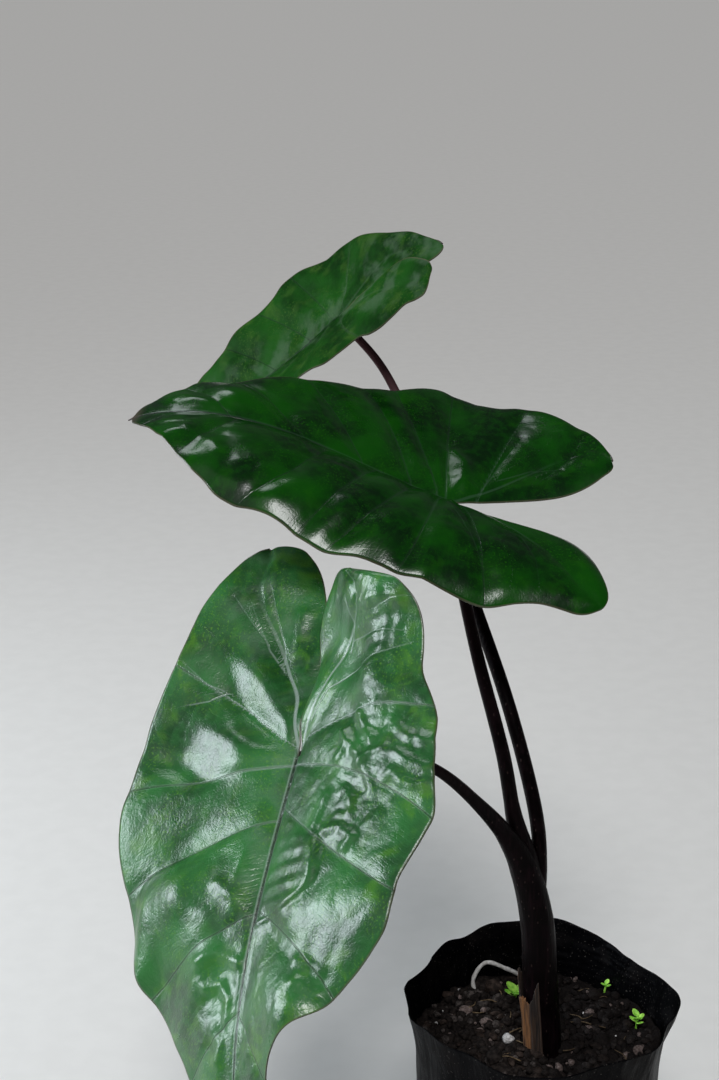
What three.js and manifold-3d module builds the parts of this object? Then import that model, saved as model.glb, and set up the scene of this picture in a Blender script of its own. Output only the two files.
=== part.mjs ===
// Potted black-stemmed alocasia: three arrow-shaped leaves on dark stalks, growing from a corm in
// a black film grow bag. Millimetres, +Z up, origin in the middle of the bag's flat bottom.
import * as THREE from 'three';
import { mergeVertices } from 'three/addons/utils/BufferGeometryUtils.js';
import Module from 'manifold-3d';

const wasm = await Module();
wasm.setup();
const { degToRad, lerp, smoothstep } = THREE.MathUtils;

// Driving dimensions
const CLEARANCE = 0.3; // gap between pieces that touch
const STALK_SIDES = 10;
const STALK_STEPS = 32;

const BAG = {
  height: 130, // rim above the ground, on the side towards the viewer
  bottomRadius: 50,
  wallRadius: 57.5,
  mouthRadius: 63,
  flareHeight: 96, // the wall starts to open here
  film: 1.0,
  divisions: 44, // round the bag
  backRise: 8, // the rim stands this much higher at the back
  foldBulge: 3, // a fold of film that bellies out on the right
  floorRows: [[-1, 1.2], [1, 3]], // inside, [out from the bottom's radius, height]
};
const SOIL_LEVEL = 112;
const SOIL_CHUNKS = { count: 26, smallest: 2.8, largest: 5.2, within: 47 };

const STEM_AXIS = [[3, -11, 101], [1.6, -11, 122], [-0.8, -11.5, 152], [-3, -12, 180]];
const STEM_HOLE_RADIUS = 11.2;
const DRY_SHEATH = {
  radius: 9.1,
  thickness: 0.8,
  heights: [105, 151],
  angles: [130, 262], // round the stem, in degrees from +X
  rows: 5,
  columns: 10,
};
const CORM = { centre: [3.2, -11, 82], radius: 13, halfHeight: 19, topCut: 100.6 };
const ROOTS = { count: 5, reach: 36, drop: 48, thick: 1.9, thin: 0.9 };
const ROOT_LOOP = {
  points: [[-27, 47, 106], [-28, 48, 114], [-22, 50, 122], [-12, 50, 119], [-3, 49, 114], [0, 48, 107]],
  radius: 0.8,
};
const SEEDLINGS = [
  { name: 'seedling_left', foot: [-8, 31], height: 8, leaves: 4, leafLength: 4.4 },
  { name: 'seedling_back', foot: [37, 41], height: 6, leaves: 3, leafLength: 3.6 },
  { name: 'seedling_right', foot: [48, 6], height: 11, leaves: 6, leafLength: 3.4 },
];

// A leaf blade. Each half is ruled from the midrib, and behind the junction from the edge of the
// notch, to its margin: [distance ahead of the junction, distance out from the midrib]. The blade
// is then folded along the midrib, curled across and drooped along it. Angles are in degrees.
// The first half is the one on the left of somebody who looks from the junction to the tip.
const BLADE_THICKNESS = 0.9;
const MIDRIB_STATIONS = [1, 0.88, 0.68, 0.44, 0.2, 0]; // where the rulings leave the midrib
const JUNCTION_AT = 5 / 8; // share of the margin that lies ahead of the junction
const SIDE_VEINS = 8; // main veins of a half, with the blade raised between them
const LEAVES = {
  lower: {
    length: 163,
    junction: [-111, -80.3, 293],
    heading: -105.4,
    pitch: -37.2,
    roll: 33.5,
    droop: [-7, 40],
    bend: -0.045,
    rows: 32,
    columns: 6,
    quilt: 2.2,
    wave: 2.0,
    keel: 1.6,
    halves: [
      {
        margin: [[163, 0], [150, 15], [127, 26], [94, 67], [59, 80],
          [20, 85], [-22, 71], [-58, 66], [-78, 28]],
        notch: [[-28, 1.5], [-58, 4], [-72, 13]],
        fold: [9, 4, 23],
        curl: 13,
        lobe: -39,
      },
      {
        margin: [[163, 0], [150, 15], [127, 34], [94, 60], [59, 74],
          [20, 82], [-28, 70], [-73, 57], [-102, 36]],
        notch: [[-36, 4.5], [-74, 9.6], [-95, 20]],
        fold: [15, -13, 30],
        curl: -4,
        lobe: -3,
      },
    ],
    stalk: {
      foot: 102.6,
      points: [[-9.5, -13, 207], [-18, -18, 225], [-32, -28, 246],
        [-51, -42, 269], [-70, -54, 282], [-92, -68, 290]],
      radii: [8.2, 8.1, 8.0, 7.8, 6.9, 4.1, 2.9, 2.4, 2.2, 2.2, 2.3],
    },
  },
  middle: {
    length: 153,
    junction: [-46.2, 22.3, 372.4],
    heading: 173.2,
    pitch: 18.7,
    roll: -3.7,
    droop: [-41.3, 82.5],
    bend: -0.023,
    rows: 32,
    columns: 6,
    quilt: 1.8,
    wave: 1.2,
    keel: 1.6,
    halves: [
      {
        margin: [[153, 0], [141, 15], [119, 40], [89, 61], [55, 69],
          [18, 75], [-22, 78], [-55, 70], [-75, 64]],
        notch: [[-27, 10], [-57, 20], [-74, 48]],
        fold: [28, 0, 24],
        curl: 50,
        lobe: -24,
      },
      {
        margin: [[153, 0], [141, 16], [119, 32], [89, 45], [55, 62],
          [18, 83], [-20, 78], [-51, 66], [-71, 45]],
        notch: [[-25, 10], [-52, 21], [-67, 34]],
        fold: [21, 10, 41],
        curl: 7,
        lobe: -21,
      },
    ],
    stalk: {
      foot: 101.8,
      points: [[-7.2, -12, 206], [-14.6, -12, 232], [-20, -8, 261],
        [-31.6, 3, 304], [-39, 11, 336], [-44, 19, 361]],
      radii: [6.3, 6.2, 6.1, 6.0, 5.2, 3.4, 3.2, 3.0, 2.8, 2.6, 2.5],
    },
  },
  upper: {
    length: 117,
    junction: [-96.9, 126.4, 434.1],
    heading: 151.5,
    pitch: -45.7,
    roll: -37.2,
    droop: [-19, 12],
    bend: -0.12,
    rows: 32,
    columns: 5,
    quilt: 1.2,
    wave: 1.0,
    keel: 1.2,
    halves: [
      {
        margin: [[117, 0], [107, 9], [91, 22], [68, 33], [42, 38], [14, 44], [-19, 41], [-48, 41], [-67, 30]],
        notch: [[-23, 3.5], [-49, 7.5], [-62, 18]],
        fold: [18, 38, -3],
        curl: 14,
        lobe: -1,
      },
      {
        margin: [[117, 0], [107, 9], [91, 23], [68, 33], [42, 42], [14, 47], [-19, 38], [-49, 18], [-70, -7]],
        notch: [[-24, -1.5], [-48, -6], [-62, -13]],
        fold: [6, 33, 12],
        curl: -6,
        lobe: 23,
      },
    ],
    stalk: {
      foot: 101,
      points: [[-2.2, -10, 206], [-3.8, -5, 228], [-15.4, 12, 273], [-31.7, 40, 317], [-52.3, 80, 370],
        [-73, 111, 411], [-88, 122, 427]],
      radii: [3.4, 3.4, 3.4, 3.4, 3.3, 3.2, 3.1, 2.8, 2.5, 2.2, 2.0, 1.9],
    },
  },
};

// Materials
const paint = (color, roughness, metalness = 0) =>
  new THREE.MeshStandardMaterial({ color, roughness, metalness });
const materials = {
  bag: paint(0x17181c, 0.45),
  soil: paint(0x3a302a, 0.95),
  corm: paint(0x6a4a34, 0.8),
  root: paint(0xd8d2c6, 0.6),
  stalk: paint(0x1d1416, 0.35),
  drySheath: paint(0x8a5a33, 0.85),
  seedling: paint(0x7cb83f, 0.5),
  lower: paint(0x3f7a45, 0.35),
  middle: paint(0x24562b, 0.22),
  upper: paint(0x3c7439, 0.4),
};

// Closed meshes and solids
function closedGeometry(points, triangles) {
  const volume = triangles.reduce(
    (sum, [a, b, c]) => sum + points[a].dot(new THREE.Vector3().crossVectors(points[b], points[c])), 0);
  const order = volume > 0 ? triangles : triangles.map(([a, b, c]) => [a, c, b]);
  const geometry = new THREE.BufferGeometry().setFromPoints(points);
  geometry.setIndex(order.flat());
  return geometry;
}

// A skin over closed rings of points, with a fan from its middle over the first and the last ring
function ringGeometry(rings) {
  const count = rings[0].length;
  const points = rings.flat();
  const triangles = [];
  for (let r = 0; r + 1 < rings.length; r += 1) {
    for (let k = 0; k < count; k += 1) {
      const a = r * count + k;
      const b = r * count + ((k + 1) % count);
      triangles.push([a, b, b + count], [a, b + count, a + count]);
    }
  }
  for (const [first, flip] of [[0, true], [(rings.length - 1) * count, false]]) {
    const ring = points.slice(first, first + count);
    const middle = ring.reduce((sum, p) => sum.add(p), new THREE.Vector3()).divideScalar(count);
    points.push(middle);
    for (let k = 0; k < count; k += 1) {
      const edge = [first + k, first + ((k + 1) % count)];
      triangles.push([...(flip ? edge.reverse() : edge), points.length - 1]);
    }
  }
  return closedGeometry(points, triangles);
}

// A round stalk along a curve, with its radius read from evenly spaced values
function stalkGeometry(curve, radii, steps, sides = STALK_SIDES, grow = 0) {
  const frames = curve.computeFrenetFrames(steps, false);
  const rings = [];
  for (let i = 0; i <= steps; i += 1) {
    const place = (i / steps) * (radii.length - 1);
    const k = Math.min(Math.floor(place), radii.length - 2);
    const radius = lerp(radii[k], radii[k + 1], place - k) + grow;
    const centre = curve.getPointAt(i / steps);
    rings.push(Array.from({ length: sides }, (_, s) => {
      const angle = (2 * Math.PI * s) / sides;
      return centre.clone()
        .addScaledVector(frames.normals[i], radius * Math.cos(angle))
        .addScaledVector(frames.binormals[i], radius * Math.sin(angle));
    }));
  }
  return ringGeometry(rings);
}

// A sheet of triangles made solid: each point is moved along its normal, up by above, down by below
function thickSheet(points, triangles, above, below) {
  const sheet = new THREE.BufferGeometry().setFromPoints(points);
  sheet.setIndex(triangles.flat());
  sheet.computeVertexNormals();
  const normals = points.map((_, i) => new THREE.Vector3().fromBufferAttribute(sheet.attributes.normal, i));
  const top = points.map((p, i) => p.clone().addScaledVector(normals[i], above(i)));
  const bottom = points.map((p, i) => p.clone().addScaledVector(normals[i], -below(i)));
  const n = points.length;
  const all = triangles.concat(triangles.map(([a, b, c]) => [a + n, c + n, b + n]));
  const edges = new Set(triangles.flatMap(([a, b, c]) => [`${a},${b}`, `${b},${c}`, `${c},${a}`]));
  for (const edge of edges) {
    const [a, b] = edge.split(',').map(Number);
    if (!edges.has(`${b},${a}`)) all.push([b, a, a + n], [b, a + n, b + n]);
  }
  return closedGeometry([...top, ...bottom], all);
}

function toSolid(geometry) {
  const bare = geometry.clone();
  bare.deleteAttribute('normal');
  bare.deleteAttribute('uv');
  const merged = mergeVertices(bare, 1e-4);
  return new wasm.Manifold(new wasm.Mesh({
    numProp: 3,
    vertProperties: new Float32Array(merged.attributes.position.array),
    triVerts: new Uint32Array(merged.index.array),
  }));
}

// The largest of the bodies that a cut leaves, as a geometry
function toGeometry(solid) {
  const body = solid.decompose().reduce((best, piece) => (piece.volume() > best.volume() ? piece : best));
  const mesh = body.getMesh();
  const geometry = new THREE.BufferGeometry();
  geometry.setAttribute('position', new THREE.BufferAttribute(mesh.vertProperties, 3));
  geometry.setIndex(new THREE.BufferAttribute(mesh.triVerts, 1));
  return geometry;
}

const vector = ([x, y, z]) => new THREE.Vector3(x, y, z);
const curveThrough = (points) => new THREE.CatmullRomCurve3(points.map(vector), false, 'centripetal');

// Random numbers from a fixed seed
function seeded(seed) {
  let state = seed;
  return () => {
    state = (Math.imul(state, 1664525) + 1013904223) >>> 0;
    return state / 2 ** 32;
  };
}

// The grow bag: its film is wavy, more so towards the rim
const bump = (angle, centre, width) => {
  const away = Math.atan2(Math.sin(angle - degToRad(centre)), Math.cos(angle - degToRad(centre)));
  return Math.exp(-((away / degToRad(width)) ** 2));
};
const rimHeight = (angle) => BAG.height + BAG.backRise * bump(angle, 88, 48)
  + 2.5 * bump(angle, 130, 9) - 2.5 * bump(angle, 155, 16) - 3 * bump(angle, -30, 20)
  + 1.2 * Math.sin(5 * angle + 1) + 0.6 * Math.sin(11 * angle);
function bagRadius(angle, z) {
  const rise = z / BAG.height;
  const flare = Math.max(0, (z - BAG.flareHeight) / (BAG.height - BAG.flareHeight));
  const wall = lerp(BAG.bottomRadius + 3, BAG.wallRadius, smoothstep(z, 0, 40));
  const wave = 0.5 * Math.sin(4 * angle + 1.7) + 0.5 * Math.sin(7 * angle + 0.4)
    + 0.35 * Math.sin(13 * angle + 2);
  const belly = BAG.foldBulge * bump(angle, -4, 11) * smoothstep(z, SOIL_LEVEL - 2, 124);
  const pinch = 3 * bump(angle, -142, 18) * flare;
  const opening = (BAG.mouthRadius - BAG.wallRadius) * flare ** 1.6;
  return wall + opening + wave * (0.5 + 1.5 * rise ** 3) + belly - pinch;
}

const WALL_ROWS = [14, 40, 68, 90, 102, SOIL_LEVEL];
const RIM_ROWS = [0.3, 0.6, 0.85, 1]; // shares of the way from the soil level up to the rim
const bagRing = (radius, height) => Array.from({ length: BAG.divisions }, (_, k) => {
  const angle = (2 * Math.PI * k) / BAG.divisions;
  const z = height(angle);
  return new THREE.Vector3(radius(angle, z) * Math.cos(angle), radius(angle, z) * Math.sin(angle), z);
});
const rimRow = (share) => (angle) => lerp(SOIL_LEVEL, rimHeight(angle), share);

function bagGeometry() {
  const inside = (angle, z) => bagRadius(angle, z) - BAG.film;
  const [[floorEdge, floorHeight], [wallFoot, wallHeight]] = BAG.floorRows;
  const rings = [bagRing(() => BAG.bottomRadius, () => 0), bagRing(() => BAG.bottomRadius + 2.2, () => 2.2)];
  for (const z of WALL_ROWS) rings.push(bagRing(bagRadius, () => z));
  for (const share of RIM_ROWS) rings.push(bagRing(bagRadius, rimRow(share)));
  for (const share of [...RIM_ROWS].reverse()) rings.push(bagRing(inside, rimRow(share)));
  for (const z of [...WALL_ROWS].reverse()) rings.push(bagRing(inside, () => z));
  rings.push(bagRing(() => BAG.bottomRadius + wallFoot, () => wallHeight));
  rings.push(bagRing(() => BAG.bottomRadius + floorEdge, () => floorHeight));
  return ringGeometry(rings);
}

// The soil: an uneven bed with chunks of bark and grit half sunk in it
const soilHeight = (x, y) => SOIL_LEVEL
  + 1.6 * Math.sin(x * 0.11 + 0.6) * Math.cos(y * 0.13 + 0.3)
  + 1.0 * Math.sin(x * 0.31 + y * 0.17) + 0.7 * Math.cos(y * 0.37 - x * 0.21);

function soilBed() {
  const inset = BAG.film + CLEARANCE;
  const edge = (angle, z) => bagRadius(angle, z) - inset;
  const rings = BAG.floorRows.map(([out, height]) =>
    bagRing(() => BAG.bottomRadius + out - CLEARANCE, () => height + CLEARANCE));
  for (const z of WALL_ROWS) rings.push(bagRing(edge, () => z));
  for (const share of [0.94, 0.8, 0.64, 0.46, 0.28, 0.1]) {
    rings.push(bagRing(edge, () => SOIL_LEVEL).map((p) => {
      const [x, y] = [p.x * share, p.y * share];
      return new THREE.Vector3(x, y, soilHeight(x, y));
    }));
  }
  return toSolid(ringGeometry(rings));
}

function soilChunk(random, x, y) {
  const size = lerp(SOIL_CHUNKS.smallest, SOIL_CHUNKS.largest, random());
  const ball = new THREE.IcosahedronGeometry(size).deleteAttribute('normal').deleteAttribute('uv');
  const chunk = mergeVertices(ball);
  const position = chunk.attributes.position;
  for (let i = 0; i < position.count; i += 1) {
    const swell = lerp(0.75, 1.2, random());
    position.setXYZ(i, position.getX(i) * swell, position.getY(i) * swell, position.getZ(i) * swell * 0.8);
  }
  return toSolid(chunk.rotateZ(random() * 6).translate(x, y, soilHeight(x, y) + size * 0.2));
}

// The corm and its roots, which the soil hides
function cormSolid(grow = 0) {
  const [x, y, z] = CORM.centre;
  const rings = [];
  for (let i = 0; i < 7; i += 1) {
    const tilt = lerp(-80, 70, i / 6);
    const radius = CORM.radius * Math.cos(degToRad(tilt)) * (i % 2 ? 1.03 : 0.98) + grow;
    const level = z + CORM.halfHeight * Math.sin(degToRad(tilt));
    const height = Math.min(level, CORM.topCut) + grow * Math.sign(tilt);
    rings.push(Array.from({ length: 10 }, (_, k) => {
      const angle = (Math.PI * k) / 5;
      return new THREE.Vector3(x + radius * Math.cos(angle), y + radius * Math.sin(angle), height);
    }));
  }
  let solid = toSolid(ringGeometry(rings));
  for (let k = 0; k < ROOTS.count; k += 1) {
    const angle = degToRad(20 + (360 * k) / ROOTS.count);
    const out = (share, drop) => [x + share * Math.cos(angle), y + share * Math.sin(angle), z - drop];
    const drop = ROOTS.drop * (k % 2 ? 1 : 0.75);
    const path = [out(6, 2), out(18, 6), out(ROOTS.reach * 0.8, drop * 0.45), out(ROOTS.reach, drop)];
    solid = solid.add(toSolid(stalkGeometry(curveThrough(path), [ROOTS.thick, ROOTS.thin], 5, 4, grow)));
  }
  return solid;
}

// Leaf stalks: each clasps the younger ones at its base with a sheath
function stalkCurve(leaf) {
  const [[x, y], ...axis] = STEM_AXIS;
  return curveThrough([[x, y, leaf.stalk.foot], ...axis, ...leaf.stalk.points, leaf.junction]);
}
const stalkSolid = (leaf, grow = 0) =>
  toSolid(stalkGeometry(stalkCurve(leaf), leaf.stalk.radii, STALK_STEPS, STALK_SIDES, grow));

// The remains of an older leaf's sheath, dried against the stem's foot
function drySheathGeometry() {
  const axis = curveThrough(STEM_AXIS);
  const { rows, columns, thickness } = DRY_SHEATH;
  const [bottom, top] = DRY_SHEATH.heights;
  const [from, to] = DRY_SHEATH.angles;
  const points = [];
  const triangles = [];
  for (let i = 0; i <= rows; i += 1) {
    for (let k = 0; k <= columns; k += 1) {
      const angle = degToRad(lerp(from, to, k / columns));
      const ragged = 5 * Math.sin(angle * 3) + 3 * Math.sin(angle * 7 + 1);
      const z = lerp(bottom, top + ragged, i / rows);
      const centre = axis.getPointAt((z - STEM_AXIS[0][2]) / (STEM_AXIS[3][2] - STEM_AXIS[0][2]));
      const radius = DRY_SHEATH.radius + 0.5 * Math.sin(angle * 5) ** 2 + (0.8 * i) / rows;
      const [x, y] = [centre.x + radius * Math.cos(angle), centre.y + radius * Math.sin(angle)];
      points.push(new THREE.Vector3(x, y, z));
      if (i < rows && k < columns) {
        const a = i * (columns + 1) + k;
        triangles.push([a, a + 1, a + columns + 2], [a, a + columns + 2, a + columns + 1]);
      }
    }
  }
  return thickSheet(points, triangles, () => thickness / 2, () => thickness / 2);
}

// Weeds that came up in the bag: a thread of a stem with small round leaves fused to it
function seedlingSolid(seedling, index) {
  const [x, y] = seedling.foot;
  const ground = soilHeight(x, y);
  const tip = [x + 0.6, y - 0.6, ground + seedling.height];
  const stem = curveThrough([[x, y, ground - 6], [x, y, ground], tip]);
  let solid = toSolid(stalkGeometry(stem, [0.6, 0.5], 3, 5));
  for (let k = 0; k < seedling.leaves; k += 1) {
    const pad = new THREE.SphereGeometry(1, 6, 4)
      .scale(seedling.leafLength / 2, seedling.leafLength / 2.8, 0.45)
      .translate(seedling.leafLength * 0.42, 0, 0)
      .rotateY(-0.45)
      .rotateZ(2.4 * k + index)
      .translate(x + 0.5, y - 0.5, ground + seedling.height * (1 - 0.13 * k));
    solid = solid.add(toSolid(pad));
  }
  return solid;
}

// Leaf blades
function bladeCurves(leaf) {
  const flat = (pairs) => new THREE.SplineCurve(pairs.map(([a, b]) => new THREE.Vector2(a, b)));
  return {
    midrib: flat(MIDRIB_STATIONS.map((share) => [share * leaf.length, 0])),
    halves: leaf.halves.map((half) => ({
      margin: flat(half.margin),
      notch: flat([[0, 0], ...half.notch, half.margin.at(-1)]),
    })),
  };
}

// Where the ruling u (0 at the tip, 1 at the end of the lobe) is at share v of its way outwards
function flatPoint(curves, side, u, v) {
  const { margin, notch } = curves.halves[side];
  const inner = u <= JUNCTION_AT
    ? curves.midrib.getPoint(u / JUNCTION_AT)
    : notch.getPoint((u - JUNCTION_AT) / (1 - JUNCTION_AT));
  return inner.lerp(margin.getPoint(u), v);
}

// The blade swells between its side veins, and its margin waves
function relief(leaf, side, u, v) {
  const between = Math.sin(Math.PI * SIDE_VEINS * u) ** 2;
  const towardsTip = smoothstep(u, 0, 0.25);
  const quilt = leaf.quilt * between * 4 * v * (1 - v) * towardsTip;
  return quilt + leaf.wave * v ** 4 * Math.sin(2 * Math.PI * (5 * u + 0.3 * side)) * towardsTip;
}

function bentPoint(leaf, side, flat, lift) {
  const half = leaf.halves[side];
  const ahead = flat.x / leaf.length;
  const [droopStart, droopGain] = leaf.droop.map(degToRad);
  const [foldHere, foldTip, foldLobe] = half.fold.map(degToRad);
  const centre = new THREE.Vector3();
  let slope;
  if (ahead >= 0) {
    const steps = 24;
    for (let k = 0; k < steps; k += 1) {
      const s = ((k + 0.5) / steps) * ahead;
      const angle = droopStart * s + droopGain * s * s;
      centre.x += (Math.cos(angle) * flat.x) / steps;
      centre.z -= (Math.sin(angle) * flat.x) / steps;
    }
    slope = droopStart * ahead + droopGain * ahead * ahead;
  } else {
    slope = degToRad(half.lobe) * ahead;
    centre.set(flat.x * Math.cos(slope / 2), 0, -flat.x * Math.sin(slope / 2));
  }
  const fold = ahead >= 0
    ? lerp(foldHere, foldTip, ahead)
    : lerp(foldHere, foldLobe, Math.min(-ahead / 0.5, 1));
  const turn = degToRad(half.curl) / (0.38 * leaf.length);
  const across = (Math.sin(fold) - Math.sin(fold - turn * flat.y)) / turn;
  const up = (Math.cos(fold - turn * flat.y) - Math.cos(fold)) / turn + lift;
  const sideways = leaf.bend * Math.max(ahead, 0) ** 2 * leaf.length;
  return new THREE.Vector3(
    centre.x + up * Math.sin(slope),
    (side === 0 ? across : -across) + sideways,
    centre.z + up * Math.cos(slope),
  );
}

// The blade's own frame: x along the midrib, z out of the upper face
function bladeFrame(leaf) {
  const [heading, pitch, roll] = [leaf.heading, leaf.pitch, leaf.roll].map(degToRad);
  const along = new THREE.Vector3(
    Math.cos(pitch) * Math.cos(heading), Math.cos(pitch) * Math.sin(heading), Math.sin(pitch));
  const level = new THREE.Vector3(-Math.sin(heading), Math.cos(heading), 0);
  const upright = new THREE.Vector3().crossVectors(along, level);
  const across = level.multiplyScalar(Math.cos(roll)).addScaledVector(upright, Math.sin(roll));
  const up = new THREE.Vector3().crossVectors(along, across);
  return new THREE.Matrix4().makeBasis(along, across, up).setPosition(...leaf.junction);
}

function bladeGeometry(leaf) {
  const { rows, columns } = leaf;
  const curves = bladeCurves(leaf);
  const frame = bladeFrame(leaf);
  const junctionRow = rows * JUNCTION_AT;
  const points = [];
  const keels = [];
  const numbers = new Map();
  const number = (side, i, j) => {
    const shared = i === 0 || (j === 0 && i <= junctionRow);
    const key = shared ? `rib ${i}` : `${side} ${i} ${i === rows ? 0 : j}`;
    if (!numbers.has(key)) {
      const u = i / rows;
      const v = i === 0 || i === rows ? 0 : (j / columns) ** 1.25;
      const flat = flatPoint(curves, side, u, v);
      const lift = relief(leaf, side, u, v);
      numbers.set(key, points.length);
      points.push(bentPoint(leaf, side, flat, lift).applyMatrix4(frame));
      keels.push(shared ? leaf.keel * Math.min(1, u / JUNCTION_AT + 0.1) : 0);
    }
    return numbers.get(key);
  };
  const triangles = [];
  for (const side of [0, 1]) {
    for (let i = 0; i < rows; i += 1) {
      for (let j = 0; j < columns; j += 1) {
        const corners = [[i, j], [i, j + 1], [i + 1, j + 1], [i + 1, j]];
        const quad = corners.map(([row, column]) => number(side, row, column));
        if (side === 1) quad.reverse();
        const [a, b, c, d] = quad;
        for (const triangle of [[a, b, c], [a, c, d]]) {
          if (new Set(triangle).size === 3) triangles.push(triangle);
        }
      }
    }
  }
  const half = BLADE_THICKNESS / 2;
  return thickSheet(points, triangles, () => half, (i) => half + keels[i]);
}

// A block over the underside of the midrib at the junction, where the stalk is cut to meet it
function aboveKeel(leaf) {
  const size = 40;
  const underside = -(BLADE_THICKNESS / 2 + leaf.keel + CLEARANCE);
  const block = new THREE.BoxGeometry(size, size, size).translate(0, 0, underside + size / 2);
  return toSolid(block.applyMatrix4(bladeFrame(leaf)));
}

const loopCurve = curveThrough(ROOT_LOOP.points);
const loopSolid = (grow = 0) =>
  toSolid(stalkGeometry(loopCurve, [ROOT_LOOP.radius, ROOT_LOOP.radius], 12, 6, grow));

// The soil with its chunks, and the holes that everything stands in
function soilSolid() {
  const random = seeded(20);
  const keepClear = [
    [...STEM_AXIS[1], STEM_HOLE_RADIUS + 2],
    ...SEEDLINGS.map(({ foot: [x, y] }) => [x, y, SOIL_LEVEL, 6]),
    [...ROOT_LOOP.points.at(0), 6],
    [...ROOT_LOOP.points.at(-1), 6],
  ];
  let soil = soilBed();
  for (let placed = 0; placed < SOIL_CHUNKS.count;) {
    const angle = 2 * Math.PI * random();
    const radius = SOIL_CHUNKS.within * Math.sqrt(random());
    const [x, y] = [radius * Math.cos(angle), radius * Math.sin(angle)];
    if (keepClear.every(([cx, cy, , room]) => Math.hypot(x - cx, y - cy) > room)) {
      soil = soil.add(soilChunk(random, x, y));
      placed += 1;
    }
  }
  const [[footX, footY], ...axis] = STEM_AXIS;
  const holeCurve = curveThrough([[footX, footY, CORM.topCut - 1], ...axis]);
  const stemHole = toSolid(stalkGeometry(holeCurve, [STEM_HOLE_RADIUS, STEM_HOLE_RADIUS], 4, 16));
  soil = soil.subtract(stemHole).subtract(cormSolid(CLEARANCE)).subtract(loopSolid(CLEARANCE));
  for (const { foot: [x, y] } of SEEDLINGS) {
    const hole = new THREE.CylinderGeometry(1, 1, 12, 8).rotateX(Math.PI / 2);
    soil = soil.subtract(toSolid(hole.translate(x, y, soilHeight(x, y) - 1)));
  }
  return soil;
}

// Assembly
const plant = new THREE.Group();
function addPiece(name, geometry, material) {
  const mesh = new THREE.Mesh(geometry, material);
  mesh.name = name;
  plant.add(mesh);
}

const { lower, middle, upper } = LEAVES;
const stalks = {
  upper: stalkSolid(upper).subtract(aboveKeel(upper)),
  middle: stalkSolid(middle).subtract(stalkSolid(upper, CLEARANCE)).subtract(aboveKeel(middle)),
  lower: stalkSolid(lower).subtract(stalkSolid(upper, CLEARANCE)).subtract(stalkSolid(middle, CLEARANCE))
    .subtract(aboveKeel(lower)),
};

addPiece('grow_bag', bagGeometry(), materials.bag);
addPiece('soil', toGeometry(soilSolid()), materials.soil);
addPiece('corm_and_roots', toGeometry(cormSolid()), materials.corm);
addPiece('dry_sheath', drySheathGeometry(), materials.drySheath);
addPiece('root_loop', toGeometry(loopSolid()), materials.root);
for (const [name, leaf] of Object.entries(LEAVES)) {
  addPiece(`stalk_${name}`, toGeometry(stalks[name]), materials.stalk);
  addPiece(`blade_${name}`, bladeGeometry(leaf), materials[name]);
}
SEEDLINGS.forEach((seedling, index) => {
  addPiece(seedling.name, toGeometry(seedlingSolid(seedling, index)), materials.seedling);
});

export default plant;
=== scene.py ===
# %% [markdown]
# # A young black-stemmed alocasia in its grow bag
# Three arrow-shaped leaves on near-black stalks grow from a corm in a black film bag. The solid
# model of every piece is loaded first, as a fixed frame. Each cell then dresses one piece: it makes
# a finer mesh where the solid is plain, and a material with the detail of the real surface.

# %% Load the frame
import math

import bmesh
import bpy
import numpy as np
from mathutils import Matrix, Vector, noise


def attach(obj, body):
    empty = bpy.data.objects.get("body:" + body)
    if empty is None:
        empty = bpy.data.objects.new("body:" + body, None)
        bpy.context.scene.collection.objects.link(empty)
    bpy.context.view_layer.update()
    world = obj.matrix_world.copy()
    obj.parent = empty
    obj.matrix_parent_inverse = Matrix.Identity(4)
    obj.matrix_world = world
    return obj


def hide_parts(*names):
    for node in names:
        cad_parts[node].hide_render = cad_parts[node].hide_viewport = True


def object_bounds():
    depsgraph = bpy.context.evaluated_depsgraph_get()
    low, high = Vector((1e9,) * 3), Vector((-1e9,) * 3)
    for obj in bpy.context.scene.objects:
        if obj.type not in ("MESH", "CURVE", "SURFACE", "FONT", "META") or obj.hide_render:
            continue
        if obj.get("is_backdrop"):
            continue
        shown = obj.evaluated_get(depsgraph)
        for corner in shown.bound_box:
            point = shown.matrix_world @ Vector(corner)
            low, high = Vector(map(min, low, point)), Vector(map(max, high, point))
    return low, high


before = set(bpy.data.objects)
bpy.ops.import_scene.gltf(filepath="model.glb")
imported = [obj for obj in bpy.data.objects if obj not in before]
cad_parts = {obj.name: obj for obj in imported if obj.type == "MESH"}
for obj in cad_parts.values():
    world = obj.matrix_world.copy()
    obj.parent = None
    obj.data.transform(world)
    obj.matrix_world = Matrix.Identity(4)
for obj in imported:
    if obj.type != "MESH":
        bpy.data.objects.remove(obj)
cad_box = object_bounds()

MM = 0.001
print("solids in the frame:", sorted(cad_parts))

# %% [markdown]
# ## The camera
# The photograph looks down at the plant from a little above the leaves. The rim of the pot is a
# circle, and how flat its ellipse looks gives the slope of the camera. The distance follows from
# the field of view and from how large the mouth of the pot looks.

# %% Camera
CAMERA_PLACE = (-0.085, -0.844, 0.635)
CAMERA_SLOPE = math.radians(18)
FIELD_OF_VIEW = math.radians(30)
SENSOR = 36


def add_object(name, data):
    """An object of the scene that shows a mesh, or holds a camera or a lamp."""
    made = bpy.data.objects.new(name, data)
    bpy.context.scene.collection.objects.link(made)
    return made


def add_camera():
    data = bpy.data.cameras.new("camera")
    data.sensor_width = SENSOR
    data.lens = SENSOR / 2 / math.tan(FIELD_OF_VIEW / 2)
    camera = add_object("camera", data)
    camera.location = CAMERA_PLACE
    camera.rotation_euler = (math.pi / 2 - CAMERA_SLOPE, 0, 0)
    bpy.context.scene.camera = camera
    print(f"lens {data.lens:.1f} mm")


add_camera()

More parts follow.
